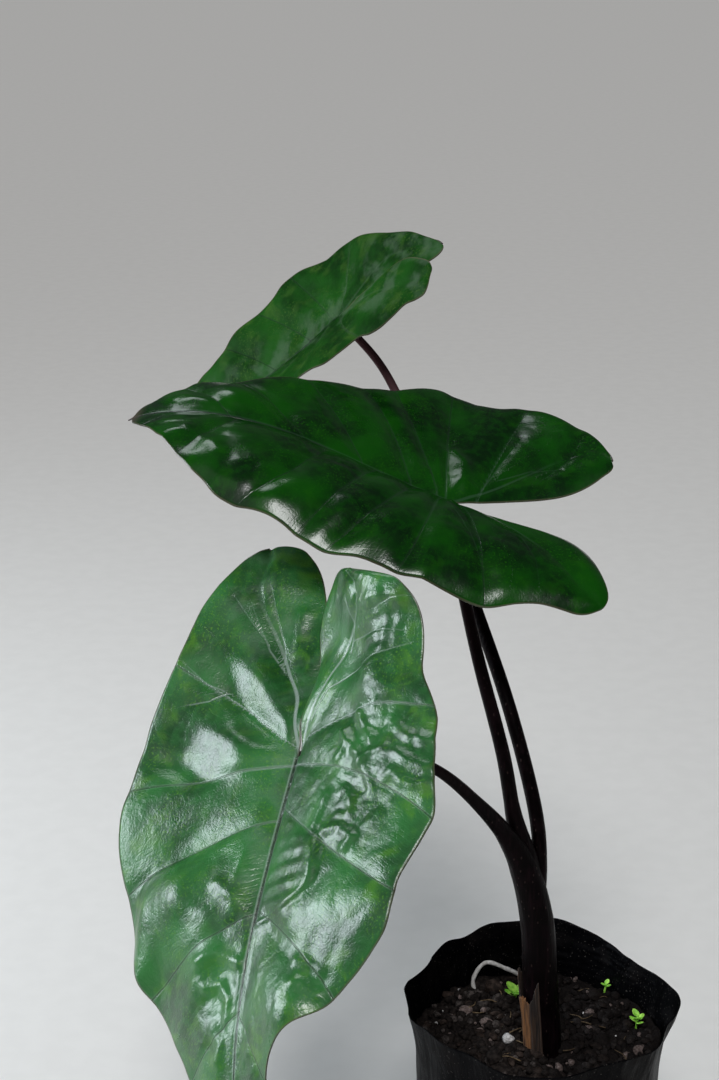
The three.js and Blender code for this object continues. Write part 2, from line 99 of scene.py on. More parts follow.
# %% [markdown]
# ## Writing materials as sums
# A material is a graph of nodes. Drawn by hand it is easy to get lost in, so here a small class
# stands for one socket of the graph. An expression such as `1 - mask * 0.4` then adds the Math
# nodes that it needs, and `node` adds any other kind of node.

# %% Shader sums
class Socket:
    """An output in a node tree, with arithmetic."""

    def __init__(self, tree, socket=None):
        self.tree = tree
        self.socket = socket

    def feed(self, node, inputs):
        for name, value in inputs.items():
            if isinstance(value, Socket):
                self.tree.links.new(value.socket, node.inputs[name])
            else:
                node.inputs[name].default_value = value

    def node(self, kind, settings=None, inputs=None, output=0):
        """Adds a node, sets it up, then fills its inputs, and gives one of its outputs."""
        made = self.tree.nodes.new(kind)
        for name, value in (settings or {}).items():
            setattr(made, name, value)
        self.feed(made, inputs or {})
        return Socket(self.tree, made.outputs[output])

    def math(self, operation, *values):
        return self.node("ShaderNodeMath", {"operation": operation}, dict(enumerate(values)))

    def __add__(self, other):
        return self.math("ADD", self, other)

    __radd__ = __add__

    def __sub__(self, other):
        return self.math("SUBTRACT", self, other)

    def __rsub__(self, other):
        return self.math("SUBTRACT", other, self)

    def __mul__(self, other):
        return self.math("MULTIPLY", self, other)

    __rmul__ = __mul__

    def __abs__(self):
        return self.math("ABSOLUTE", self)

    def step(self, low, high):
        """Goes smoothly from 0 at low to 1 at high."""
        limits = {"Value": self, "From Min": low, "From Max": high}
        return self.node("ShaderNodeMapRange", {"interpolation_type": "SMOOTHSTEP"}, limits)

    def mix(self, first, second):
        """The first colour where this value is 0, and the second where it is 1."""
        # The Mix node keeps its colours in inputs 6 and 7, and gives a colour from output 2.
        return self.node("ShaderNodeMix", {"data_type": "RGBA"}, {0: self, 6: first, 7: second}, 2)

    def noise(self, place, scale, detail=3, distortion=0):
        inputs = {"Vector": place, "Scale": scale, "Detail": detail, "Distortion": distortion}
        return self.node("ShaderNodeTexNoise", None, inputs)

    def cells(self, place, scale, feature="F1"):
        return self.node("ShaderNodeTexVoronoi", {"feature": feature}, {"Vector": place, "Scale": scale})

    def attribute(self, name, output=2):
        """A value kept on the mesh: output 1 is a vector, and output 2 is a number."""
        return self.node("ShaderNodeAttribute", {"attribute_name": name}, None, output)

    def object_place(self, stretch=(1, 1, 1)):
        """The place on the object, in metres, with its axes stretched."""
        place = self.node("ShaderNodeTexCoord", None, None, 3)
        return self.node("ShaderNodeMapping", None, {"Vector": place, "Scale": stretch})

    def bump(self, height, distance, strength=1.0):
        inputs = {"Height": height, "Distance": distance, "Strength": strength}
        return self.node("ShaderNodeBump", None, inputs)


def colour(red, green, blue):
    return (red, green, blue, 1)


def new_material(name):
    """A material, its Principled shader, and an empty socket to start sums from."""
    material = bpy.data.materials.new(name)
    material.use_nodes = True
    return material, material.node_tree.nodes["Principled BSDF"], Socket(material.node_tree)


# %% [markdown]
# ## Building meshes from rows of points
# Leaves, stalks, film and soil are all grids: rows of points that are joined by four-sided faces.
# NumPy works out the points of a whole grid at once. Points of two grids that lie in the same place
# are then welded, so that the surface is in one piece.

# %% Mesh helpers
def smoothstep(value, low, high):
    t = np.clip((value - low) / (high - low), 0, 1)
    return t * t * (3 - 2 * t)


def lerp(first, second, share):
    return first + (second - first) * share


def noise_at(x, y, z=0.0):
    """Smooth noise from about -1 to 1, at the places of whole arrays."""
    places = np.stack(np.broadcast_arrays(x, y, z), -1).reshape(-1, 3).tolist()
    return np.array([noise.noise(place) for place in places]).reshape(np.shape(x))


def grid_faces(rows, columns, start=0, closed=False, flip=False):
    """Faces of a grid of points. A closed grid joins its last column to its first."""
    width = columns if closed else columns - 1
    i, j = np.meshgrid(np.arange(rows - 1), np.arange(width), indexing="ij")
    after = (j + 1) % columns
    corners = [i * columns + j, i * columns + after, (i + 1) * columns + after, (i + 1) * columns + j]
    faces = np.stack([c.ravel() + start for c in corners], 1)
    return faces[:, ::-1] if flip else faces


def weld(points, faces, values):
    """Joins points in the same place, to a micrometre, and drops the faces that close up."""
    _, kept, number = np.unique(np.round(points, 6), axis=0, return_index=True, return_inverse=True)
    joined = []
    for face in number.reshape(-1)[faces].tolist():
        corners = list(dict.fromkeys(face))
        if len(corners) > 2:
            joined.append(corners)
    return points[kept], joined, {name: value[kept] for name, value in values.items()}


def add_piece(name, points, faces, materials, nodes=(), values=None, finish_of_face=None):
    """Makes a mesh object that rides on the plant and stands for the given solids."""
    mesh = bpy.data.meshes.new(name)
    mesh.from_pydata(np.asarray(points).tolist(), [], [list(face) for face in faces])
    for material in materials:
        mesh.materials.append(material)
    if finish_of_face is not None:
        mesh.polygons.foreach_set("material_index", finish_of_face)
    for title, value in (values or {}).items():
        is_vector = value.ndim == 2
        attribute = mesh.attributes.new(title, "FLOAT_VECTOR" if is_vector else "FLOAT", "POINT")
        numbers = value.astype(np.float32).ravel()
        attribute.data.foreach_set("vector" if is_vector else "value", numbers)
    mesh.shade_smooth()
    mesh.update()
    piece = add_object(name, mesh)
    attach(piece, "root")
    if nodes:
        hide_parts(*nodes)
    print(f"{name}: {len(mesh.vertices)} points, {len(mesh.polygons)} faces")
    return piece


def thicken(piece, thickness, offset=-1):
    """Thickens a sheet, in millimetres: with offset -1 downwards, and with 0 to both sides."""
    solidify = piece.modifiers.new("thickness", "SOLIDIFY")
    solidify.thickness = thickness * MM
    solidify.offset = offset
    return solidify


# %% [markdown]
# ## The shape of a leaf
# A leaf of this plant is an arrowhead: a midrib, two halves and two lobes behind the point where the
# stalk joins. Each half is a ruled sheet, with straight lines from the midrib, or from the edge of
# the notch between the lobes, out to the margin. The flat sheet is then folded along its midrib,
# curled across and drooped along it. Lengths in this table are in millimetres and angles in degrees,
# as one would measure them. The first half is the one on the left as seen from the stalk, and each
# pair of numbers is a distance ahead of the junction and a distance out from the midrib.

# %% Leaf measurements
MIDRIB_STATIONS = (1, 0.88, 0.68, 0.44, 0.2, 0)
JUNCTION_AT = 5 / 8


def half_leaf(margin, notch, fold, curl, lobe, scallops, overlap=0):
    return dict(margin=margin, notch=notch, fold=fold, curl=curl, lobe=lobe,
                scallops=scallops, overlap=overlap)


# The scallops say how far the margin stands out from its smooth curve, at even steps from the tip.
# The turn is the heading, pitch and roll of the whole leaf. The fold is given at the junction, at
# the tip and at the end of the lobe.
LEAVES = {
    "lower": dict(
        length=163,
        junction=(-111, -80.3, 293),
        turn=(-105.4, -37.2, 33.5),
        droop=(-7, 40),
        bend=-0.045,
        halves=[
            half_leaf(
                [(163, 0), (150, 15), (127, 26), (94, 67), (59, 80),
                 (20, 85), (-22, 71), (-58, 66), (-78, 28)],
                [(-28, 1.5), (-58, 4), (-72, 13)],
                fold=(9, 4, 23), curl=13, lobe=-39,
                scallops=[0, 0, 0, 0, 0, 0, 0, 0, -0.6, -0.5, 2, 0.8, 0.1, 0.8, -0.6, -2.1, -1.2, 0, 1,
                          -1.4, -2.3, -1.3, 0.8, 0.7, -1.1, -0.2, 0.3, 0.6, 0.2, 1, -3.2, -3.5, 0]),
            half_leaf(
                [(163, 0), (150, 15), (127, 34), (94, 60), (59, 74),
                 (20, 82), (-28, 70), (-73, 57), (-102, 36)],
                [(-36, 4.5), (-74, 9.6), (-95, 20)],
                fold=(15, -13, 30), curl=-4, lobe=-3, overlap=6,
                scallops=[0, 0, 0, 0, 0, 0, 0, 0, -0.3, -0.3, -0.5, -0.7, 0.3, -0.4, 0.1, 0.6, 0.5, 0.7,
                          0.7, 0.4, 0.7, 0.3, 1.9, 2.8, 2.3, 1.3, 1.4, 3.2, 4.6, 3.9, 3.5, 2.8, 0]),
        ],
    ),
    "middle": dict(
        length=153,
        junction=(-46.2, 22.3, 372.4),
        turn=(173.2, 18.7, -3.7),
        droop=(-41.3, 82.5),
        bend=-0.023,
        halves=[
            half_leaf(
                [(153, 0), (141, 15), (119, 40), (89, 61), (55, 69),
                 (18, 75), (-22, 78), (-55, 70), (-75, 64)],
                [(-27, 10), (-57, 20), (-74, 48)],
                fold=(28, 0, 24), curl=50, lobe=-24,
                scallops=[0, -1.5, 1.2, 0.9, -0.3, -0.3, 0.4, 0, 0.6, 1.1, 0.4, 1.1, 0.4, -0.6, -0.9, -0.4,
                          0.7, 2, 1.4, -1, 0.3, 1.6, 0.4, 0.4, 1, 0.8, -0.9, -0.7, 0.8, 1.9, 2.5, 1.6, 0]),
            half_leaf(
                [(153, 0), (141, 16), (119, 32), (89, 45), (55, 62),
                 (18, 83), (-20, 78), (-51, 66), (-71, 45)],
                [(-25, 10), (-52, 21), (-67, 34)],
                fold=(21, 10, 41), curl=7, lobe=-21,
                scallops=[0, -1.5, 0.8, 2.7, 1.5, -0.2, -1.8, 0.9, -0.9, -2.2, -2.4, -1.3, -1.2, -1.3, -0.9,
                          -0.1, -0.7, -2.2, -2.5, -1.2, -0.6, -1.6, -1.6, -2.5, -0.8, -0.5, -0.8, -0.9, -1,
                          0.9, 0.8, -0.6, 0]),
        ],
    ),
    "upper": dict(
        length=117,
        junction=(-96.9, 126.4, 434.1),
        turn=(151.5, -45.7, -37.2),
        droop=(-19, 12),
        bend=-0.12,
        halves=[
            half_leaf(
                [(117, 0), (107, 9), (91, 22), (68, 33), (42, 38),
                 (14, 44), (-19, 41), (-48, 41), (-67, 30)],
                [(-23, 3.5), (-49, 7.5), (-62, 18)],
                fold=(18, 38, -3), curl=14, lobe=-1,
                scallops=[0, 0.3, -0.4, 0, -0.7, -0.3, -1.1, -0.6, -1.4, -0.9, -1.8, -1.2, -2.1, -1.6, -2.5,
                          -2.2, -2.8, -2.7, -3.2, -3.3, -2.2, -0.4, 2.8, -0.1, -2.9, 0.7, 1.8, 0, -1.9,
                          0.5, 2.5, 1.9, 0]),
            half_leaf(
                [(117, 0), (107, 9), (91, 23), (68, 33), (42, 42),
                 (14, 47), (-19, 38), (-49, 18), (-70, -7)],
                [(-24, -1.5), (-48, -6), (-62, -13)],
                fold=(6, 33, 12), curl=-6, lobe=23,
                scallops=[0, 0.1, 0.4, -0.2, 0.4, 0, 0.6, 0.7, 0.5, -0.3, -0.4, -0.6, 0, 0.5, 0.2, -0.1,
                          -0.5, -0.5, 0.7, 0.8, 0.5, -0.5, -0.5, 0.2, 0.5, 0.5, -0.6, -1.2, 0.3, 1.5,
                          -0.3, -0.6, 0]),
        ],
    ),
}
for name, leaf in LEAVES.items():
    print(f"{name} blade: {leaf['length']} mm ahead of the junction, which is at {leaf['junction']}")

# %% [markdown]
# The flat leaf comes first. Its margin and the notch are curves through the measured places, so a
# few numbers give a smooth outline. A point of the leaf is then named by two shares: u says which
# straight line it is on, from the tip to the end of the lobe, and v how far out it is on that line.

# %% Flat leaf
def spline(points, t, beyond=None):
    """A Catmull-Rom curve through the points, at values of t from 0 to 1. At its end it is heading
    for the point beyond, if there is one, which rounds the tip where two curves meet."""
    points = np.asarray(points, float)
    last = len(points) - 1
    ahead = points if beyond is None else np.concatenate([points, [beyond]])
    place = last * np.clip(t, 0, 1)
    i = np.minimum(np.floor(place).astype(int), last - 1)
    w = (place - i)[..., None]
    before, a, b = (points[np.clip(i + k, 0, last)] for k in (-1, 0, 1))
    after = ahead[np.minimum(i + 2, len(ahead) - 1)]
    start = (b - before) / 2
    end = (after - a) / 2
    cubic = (2 * a - 2 * b + start + end) * w**3
    return cubic + (3 * b - 3 * a - 2 * start - end) * w**2 + start * w + a


def ruling(leaf, side, u):
    """Both ends of the straight line u: 0 is at the tip, and 1 at the end of the lobe."""
    half = leaf["halves"][side]
    rib = spline([(share * leaf["length"], 0) for share in MIDRIB_STATIONS], u / JUNCTION_AT)
    along_notch = (u - JUNCTION_AT) / (1 - JUNCTION_AT)
    notch_line = [(0, 0), *half["notch"], half["margin"][-1]]
    notch = spline(notch_line, along_notch, beyond=half["margin"][-2])
    inner = np.where((u <= JUNCTION_AT)[..., None], rib, notch)
    outer = spline(half["margin"], u, beyond=half["notch"][-1])
    outward = outer - inner
    outward /= np.maximum(np.linalg.norm(outward, axis=-1, keepdims=True), 1e-3)
    scallop = spline([(x,) for x in half["scallops"]], u)
    in_lobe = smoothstep(u, JUNCTION_AT + 0.01, JUNCTION_AT + 0.1) * (1 - smoothstep(u, 0.93, 1))
    inner = inner - outward * half["overlap"] * in_lobe[..., None]
    return inner, outer + outward * scallop


def flat_place(leaf, side, u, v):
    """The flat place at the share v of the way out along the straight line u."""
    inner, outer = ruling(leaf, side, u)
    return inner + (outer - inner) * v[..., None]


for name, leaf in LEAVES.items():
    margins = [flat_place(leaf, side, np.linspace(0, 1, 201), np.ones(201)) for side in (0, 1)]
    lengths = [leaf["length"] - margin[:, 0].min() for margin in margins]
    print(f"{name} blade, flat: halves of {lengths[0]:.0f} and {lengths[1]:.0f} mm")

# %% [markdown]
# The flat leaf is then bent, as a sheet of paper would be: folded along the midrib, curled across
# and drooped along it. Bending flat lengths, rather than drawing a bent form, keeps them as
# they were measured.

# %% Bent leaf
BEND_REACH = 1.2
BEND_STEPS = 241
HALF_WIDTH = 0.38
LOBE_REACH = 0.5


def bend_leaf(leaf, side, flat, lift):
    """Folds, curls and droops flat places. lift is their height over the sheet."""
    half = leaf["halves"][side]
    length = leaf["length"]
    ahead = flat[..., 0] / length
    front = np.clip(ahead, 0, None)
    is_front = ahead >= 0
    start, gain = np.radians(leaf["droop"])
    fold_here, fold_tip, fold_lobe = np.radians(half["fold"])

    steps = np.linspace(0, BEND_REACH, BEND_STEPS)
    angles = start * steps + gain * steps**2
    middle = (angles[1:] + angles[:-1]) / 2
    forward = np.concatenate([[0], np.cumsum(np.cos(middle))]) * steps[1] * length
    downward = np.concatenate([[0], np.cumsum(np.sin(middle))]) * steps[1] * length
    slope = np.where(is_front, start * front + gain * front**2, np.radians(half["lobe"]) * ahead)
    x = np.where(is_front, np.interp(front, steps, forward), flat[..., 0] * np.cos(slope / 2))
    z = np.where(is_front, -np.interp(front, steps, downward), -flat[..., 0] * np.sin(slope / 2))

    behind = lerp(fold_here, fold_lobe, np.clip(-ahead / LOBE_REACH, 0, 1))
    fold = np.where(is_front, lerp(fold_here, fold_tip, front), behind)
    turn = np.radians(half["curl"]) / (HALF_WIDTH * length)
    across = (np.sin(fold) - np.sin(fold - turn * flat[..., 1])) / turn
    up = (np.cos(fold - turn * flat[..., 1]) - np.cos(fold)) / turn + lift
    y = (1 - 2 * side) * across + leaf["bend"] * front**2 * length
    return np.stack([x + up * np.sin(slope), y, z + up * np.cos(slope)], -1)


def leaf_axes(leaf):
    """The leaf's own axes: along its midrib, across it, and up out of its face."""
    heading, pitch, roll = np.radians(leaf["turn"])
    flat_heading = np.array([np.cos(heading), np.sin(heading), 0])
    along = flat_heading * np.cos(pitch) + np.array([0, 0, np.sin(pitch)])
    level = np.array([-np.sin(heading), np.cos(heading), 0])
    across = level * np.cos(roll) + np.cross(along, level) * np.sin(roll)
    return np.stack([along, across, np.cross(along, across)])


for name, leaf in LEAVES.items():
    print(f"{name} blade: its face points to {leaf_axes(leaf)[2].round(2)}")

# %% [markdown]
# ## Where the veins run
# Side veins leave the midrib and run out to the margin, almost along the ruled lines. So a vein is
# given by the three lines that it crosses: at the midrib, half way and at the margin. A "phase"
# counts the veins from the tip: it is a whole number on each vein and rises evenly between them.
# It is kept on every point of the mesh, and then serves both the shape, where the blade swells
# between veins, and the material, which draws veins where the phase is whole. The main vein of a
# lobe is a curve through the lobe's middle.

# %% Vein measurements
EVEN_VEINS = [
    (0.14, 0.125, 0.11), (0.27, 0.25, 0.23), (0.40, 0.38, 0.35), (0.52, 0.50, 0.47),
    (0.61, 0.60, 0.59), (0.65, 0.70, 0.75),
]
VEINS = {
    "lower": [
        [(0.13, 0.12, 0.10), (0.25, 0.23, 0.20), (0.385, 0.355, 0.32), (0.53, 0.485, 0.455),
         (0.60, 0.595, 0.555), (0.65, 0.69, 0.70)],
        [(0.13, 0.12, 0.10), (0.255, 0.24, 0.215), (0.38, 0.37, 0.355), (0.51, 0.52, 0.51),
         (0.60, 0.63, 0.645), (0.64, 0.72, 0.79)],
    ],
    "middle": [
        [(0.14, 0.13, 0.11), (0.27, 0.26, 0.24), (0.405, 0.42, 0.39), (0.49, 0.50, 0.50),
         (0.56, 0.565, 0.55), (0.61, 0.64, 0.65), (0.65, 0.71, 0.77)],
        [(0.14, 0.12, 0.10), (0.25, 0.22, 0.19), (0.37, 0.33, 0.29), (0.465, 0.44, 0.41),
         (0.55, 0.53, 0.50), (0.60, 0.57, 0.545), (0.625, 0.63, 0.64), (0.68, 0.72, 0.77)],
    ],
    "upper": [EVEN_VEINS, EVEN_VEINS],
}
# Forks of the lobe veins and of the side veins, each with the half of the leaf that it is on
BRANCHES = {
    "lower": [
        (1, [(-42, 17), (-51, 25), (-62, 31), (-71, 36)]),
        (1, [(-42, 17), (-54, 20), (-69, 25), (-81, 29)]),
        (1, [(-54, 26), (-66, 37), (-75, 45)]),
        (1, [(-32, 42), (-35, 52), (-42, 61)]),
        (1, [(-32, 42), (-27, 48), (-25, 58)]),
        (0, [(-41, 27), (-51, 31), (-63, 29)]),
        (0, [(-53, 47), (-55, 58), (-54, 66)]),
        (0, [(-45, 30), (-44, 46), (-41, 61)]),
        (0, [(-14, 8), (-26, 17), (-30, 30), (-33, 49), (-35, 64)]),
    ],
    "middle": [
        (0, [(-5, 31), (-17, 52), (-24, 64)]),
        (0, [(-36, 34), (-44, 50), (-47, 62)]),
        (1, [(-42, 30), (-50, 42), (-54, 54)]),
        (1, [(-14, 13), (-19, 33), (-26, 54)]),
        (1, [(-21, 23), (-34, 33), (-47, 36)]),
    ],
    "upper": [
        (1, [(-4, 3), (-8, 8), (-11, 18)]),
    ],
}
for name in VEINS:
    print(f"{name} blade: {[len(veins) for veins in VEINS[name]]} veins, {len(BRANCHES[name])} forks")

# %% [markdown]
# Every point of the mesh has to know how far it is from each kind of vein. These distances are
# worked out once, in the flat leaf, where they are plain geometry.

# %% Distances from the veins
FAR_FROM_VEINS = 20
BEFORE_TIP = -0.06
PAST_LOBE = 1.06


def line_distance(x, y, line):
    """The distance of each point from a line of several straight parts, below 0 on its left. With a
    sign it passes evenly through 0, so a thin line stays whole on a mesh of wider faces."""
    nearest = np.full(np.shape(x), np.inf)
    for (x0, y0), (x1, y1) in zip(line, line[1:]):
        run = (x1 - x0) ** 2 + (y1 - y0) ** 2
        share = np.clip(((x - x0) * (x1 - x0) + (y - y0) * (y1 - y0)) / run, 0, 1)
        distance = np.hypot(x - lerp(x0, x1, share), y - lerp(y0, y1, share))
        is_left = (x - x0) * (y1 - y0) < (y - y0) * (x1 - x0)
        nearest = np.where(distance < np.abs(nearest), np.where(is_left, -distance, distance), nearest)
    return nearest


def vein_fields(leaf, veins, branches, side, u, v):
    """The phase of the side veins, the width of the gap between two of them, and the distances from
    the midrib or lobe vein, from a fork, from the edge, and along the ruled line, in millimetres."""
    inner, outer = ruling(leaf, side, u)
    run = outer - inner
    run_length = np.maximum(np.linalg.norm(run, axis=-1), 1e-3)
    step = 1e-3
    drift = (flat_place(leaf, side, u + step, v) - flat_place(leaf, side, u - step, v)) / (2 * step)
    spread = np.abs(drift[..., 0] * run[..., 1] - drift[..., 1] * run[..., 0]) / run_length

    lines = [np.full_like(u, BEFORE_TIP)]
    for at_rib, half_way, at_margin in veins:
        outer_part = half_way * 4 * v * (1 - v) + at_margin * v * (2 * v - 1)
        lines.append(at_rib * (1 - v) * (1 - 2 * v) + outer_part)
    lines.append(np.full_like(u, PAST_LOBE))
    phase = np.zeros_like(u)
    gap = np.zeros_like(u)
    for line, following in zip(lines, lines[1:]):
        width = following - line
        phase += np.clip((u - line) / width, 0, 1)
        gap += np.where((u >= line) & (u < following), width * spread, 0)

    flat = flat_place(leaf, side, u, v)
    in_lobe = u > JUNCTION_AT
    costa = 0.5 * smoothstep((u - JUNCTION_AT) / (1 - JUNCTION_AT), 0, 0.7)
    from_rib = np.where(in_lobe, (v - costa) * run_length, flat[..., 1])
    from_margin = (1 - v) * run_length
    from_edge = np.where(in_lobe, np.minimum(from_margin, v * run_length), from_margin)
    from_branch = np.full_like(u, FAR_FROM_VEINS)
    for on_side, line in branches:
        if on_side == side:
            distance = line_distance(flat[..., 0], flat[..., 1], line)
            from_branch = np.where(np.abs(distance) < np.abs(from_branch), distance, from_branch)
    return dict(phase=phase, gap=gap, rib=from_rib, branch=from_branch, edge=from_edge,
                along=v * run_length, flat=flat)


# %% [markdown]
# ## The relief of a blade
# A real blade isn't smooth. It sinks along its veins and swells between them, ripples run across the
# swellings like the rungs of a ladder, and the margin waves. All of this is added to the height
# of the sheet in real geometry, because it catches the light from every side. Creases and puckers
# stand where the real leaf has them: a crease is a line with a rise and a width, a pucker is a place
# with a reach and a strength, and the pocket is a swollen patch beside the midrib.
#
# On glossy wax the eye reads a swelling from what it mirrors, so its slope matters more than its
# height. Two kinds of swelling are given by their slopes. A lean is a place that tilts the blade by
# two slopes, along the midrib and across it, and fades out at its reach along and across a heading.
# A shoulder rises straight from a side vein: ahead of it, or behind it where its reach is below 0.
# Their slopes were fitted, so that they mirror the lamps where the real leaf has its sheens.

# %% Relief measurements
# The side veins of the lower leaf that a shoulder rises from, on each half
SECOND_VEINS = ([(4, 0), (12, 20), (24, 45), (39, 80)],
                [(4, 0), (6, 20), (9, 45), (12, 72)])
THIRD_VEINS = ([(24, 0), (36, 20), (50, 42), (69, 71)],
               [(30, 0), (31, 8), (33, 17), (36, 27), (40, 38), (44, 49), (49, 60), (54, 71)])
FOURTH_VEINS = ([(68, 0), (76, 7), (84, 17), (92, 27), (100, 38), (108, 49)],
                [(70, 0), (73, 6), (77, 13), (80, 21), (84, 29), (89, 37), (93, 46), (98, 53)])
# Puckers: half, place, reach, strength. Leans: place, reach along and across, heading, two slopes.
# Shoulders: half, vein, slope, reach, ends. Creases: half, line, rise, width. Pairs such as those
# of ripple, crumple and roll are for the two halves, and a roll is a depth and a width.
RELIEF = {
    "lower": dict(
        quilt=0.5, valley=0.45, valley_width=3, wave=1.2, channel=1.0, ripple=(0.18, 0.05), rung=8.0,
        crumple=(0.6, 0.22), roll=((0.8, 7), (0.5, 7)),
        puckers=[(0, 12, 48, 30, 1.0), (0, 40, 44, 13, 0.7), (1, 106, 12, 20, 0.5),
                 (0, 106, 38, 9, 0.8), (0, -45, 48, 16, 0.5), (1, 66, 24, 12, 0.4)],
        leans=[
            (-28, -26, 26, 11, 225, -0.33, 0.37),
            (-2, -42, 29, 13, 263, -0.18, 0.31),
            (34, -29, 27, 10, 290, 0.04, 0.1),
            (66, -58, 26, 18, 300, -0.11, 0.17),
            (95, -38, 26, 16, 320, -0.04, 0.26),
            (113, -12, 26, 13, 0, 0.06, -0.09),
            (-35, 9, 26, 12, 150, 0.29, 0.14),
            (-52, 36, 22, 16, 150, -0.27, 0.03),
            (-30, 58, 24, 18, 150, 0.18, -0.26),
            (84, 64, 26, 14, 90, 0.06, 0.02),
            (100, 22, 26, 15, 20, 0.02, 0.23),
            (-60, -45, 26, 18, 225, -0.07, 0.07),
            (-70, -20, 24, 14, 200, -0.14, -0.06),
            (58, -24, 20, 14, 290, 0.07, -0.06),
            (20, 50, 24, 20, 60, -0.05, 0),
        ],
        shoulders=[
            (1, SECOND_VEINS[1], 0.03, 24, (8, 66)),
            (1, SECOND_VEINS[1], -0.07, -16, (8, 66)),
            (1, THIRD_VEINS[1], 0.36, 30, (6, 66)),
            (1, FOURTH_VEINS[1], 0.07, -16, (6, 46)),
            (0, SECOND_VEINS[0], 0.19, -16, (8, 70)),
            (0, THIRD_VEINS[0], 0.03, 30, (8, 62)),
            (0, THIRD_VEINS[0], -0.07, -16, (8, 62)),
            (0, FOURTH_VEINS[0], 0.33, 30, (8, 44)),
        ],
        creases=[
            (0, [(74, 22), (77, 45), (76, 66)], 1.6, 10.0),
            (1, [(58, 19), (61, 15), (63, 11), (67, 7), (71, 5)], 0.9, 2.6),
            (1, [(-7, 19), (-3, 20), (2, 16)], -0.9, 5.0),
            (0, [(-2, 31), (5, 36), (11, 32)], 1.4, 2.2),
            (0, [(-9, 40), (-2, 44), (6, 50)], 1.4, 2.0),
            (0, [(11, 58), (12, 51), (16, 45)], 1.4, 2.2),
            (0, [(-1, 59), (7, 69), (10, 78)], 1.1, 2.6),
            (0, [(-1, 34), (13, 46), (27, 54)], 1.1, 2.2),
            (0, [(14, 65), (19, 73), (22, 80)], 1.0, 2.4),
            (0, [(22, 64), (28, 72), (28, 80)], 1.0, 2.2),
            (0, [(25, 39), (30, 44), (37, 45)], 1.1, 2.0),
            (0, [(42, 33), (41, 41), (47, 49), (51, 46)], 1.3, 2.4),
            (0, [(26, 29), (32, 27), (38, 26)], 1.3, 2.6),
            (0, [(94, 33), (96, 40), (99, 45)], 1.2, 2.0),
            (0, [(102, 36), (105, 41), (108, 45)], 1.2, 2.0),
            (0, [(-57, 40), (-57, 51), (-54, 61)], 1.3, 3.5),
            (0, [(-42, 40), (-43, 48), (-42, 57)], 0.9, 2.2),
            (1, [(89, 24), (86, 15), (90, 4)], 1.3, 2.4),
            (1, [(99, 19), (98, 12), (104, 7), (112, 7)], 1.3, 2.4),
            (1, [(115, 14), (121, 9), (127, 10)], 1.1, 3.0),
            (1, [(63, 38), (67, 31), (71, 23)], 0.5, 4.0),
            (1, [(-50, 12), (-61, 13), (-69, 12)], 1.2, 3.0),
        ],
        pocket=dict(side=0, along=(39, 43, 47, 55, 63, 68, 72, 74, 77),
                    reach=(24, 28, 30, 32, 32, 27, 19, 9, 0),
                    rise=2.5, rung=7.0, ripple=0.28)),
    "middle": dict(
        quilt=0.9, valley=1.2, valley_width=5, wave=1.0, channel=0.8, ripple=(0.10, 0.06), rung=9.0,
        crumple=(0.30, 0.35), roll=((2.4, 9), (0.8, 6)),
        puckers=[(0, 60, 12, 22, 0.5), (0, 20, 10, 20, 0.5), (1, 10, 40, 30, 0.5)],
        leans=[
            (123, -20, 30, 16, 0, -0.09, 0.16),
            (86, 46, 10, 8, 0, -0.02, 0.06),
            (122, 22, 22, 12, 330, 0.07, -0.02),
            (100, 30, 20, 14, 330, -0.01, -0.05),
            (72, 46, 22, 14, 340, 0.05, 0.08),
            (48, 56, 22, 14, 350, -0.06, -0.16),
            (18, 60, 24, 14, 0, -0.06, -0.11),
            (-14, 60, 24, 14, 10, -0.1, -0.13),
            (92, -22, 22, 14, 20, 0.08, 0.04),
            (8, -24, 18, 14, 80, -0.01, 0.04),
        ],
        shoulders=[],
        creases=[
            (0, [(129, 27), (120, 24), (109, 30), (103, 38)], 1.6, 5.0),
            (0, [(91, 42), (83, 39), (77, 44)], 1.1, 4.5),
            (1, [(4, 32), (-3, 24), (-6, 12)], 2.2, 4.4),
            (1, [(12, 15), (8, 8), (6, 4)], 1.0, 2.0),
        ],
        pocket=None),
    "upper": dict(
        quilt=0.6, valley=0.8, valley_width=6, wave=0.9, channel=0.9, ripple=(0.08, 0.08), rung=8.0,
        crumple=(0.5, 0.5), roll=((1.0, 6), (0.8, 6)),
        puckers=[(1, 40, 15, 30, 0.6), (1, 5, 15, 20, 0.6), (0, 0, 20, 25, 0.5)],
        leans=[], shoulders=[], creases=[], pocket=None),
}
for name, form in RELIEF.items():
    kinds = {kind: len(form[kind]) for kind in ("puckers", "leans", "shoulders", "creases")}
    print(f"{name} blade: {kinds}")

# %% [markdown]
# Each kind of swelling has a small function of its own, which gives its height at every point.
# They fade out smoothly, because an edge in the height would be mirrored as a hard line.

# %% Swellings
def pocket_shape(pocket, x, y):
    """Where the pocket is, and its height: a pillow that climbs from the midrib to a curved wall,
    falls away to the tip, and has ripples across it like rungs."""
    first, last = pocket["along"][0], pocket["along"][-1]
    edge = np.interp(x, pocket["along"], pocket["reach"])
    share = np.clip(y / np.maximum(edge, 1), 0, 1)
    inside = smoothstep(x, first - 3, first + 6) * (1 - smoothstep(y - edge, -0.5, 4))
    rungs = np.sin(2 * np.pi * (x - first) / pocket["rung"]) * 4 * share * (1 - share)
    fall = 1 - 0.6 * smoothstep(x, last - 26, last)
    return inside, inside * (pocket["rise"] * share**1.6 * fall + pocket["ripple"] * rungs)


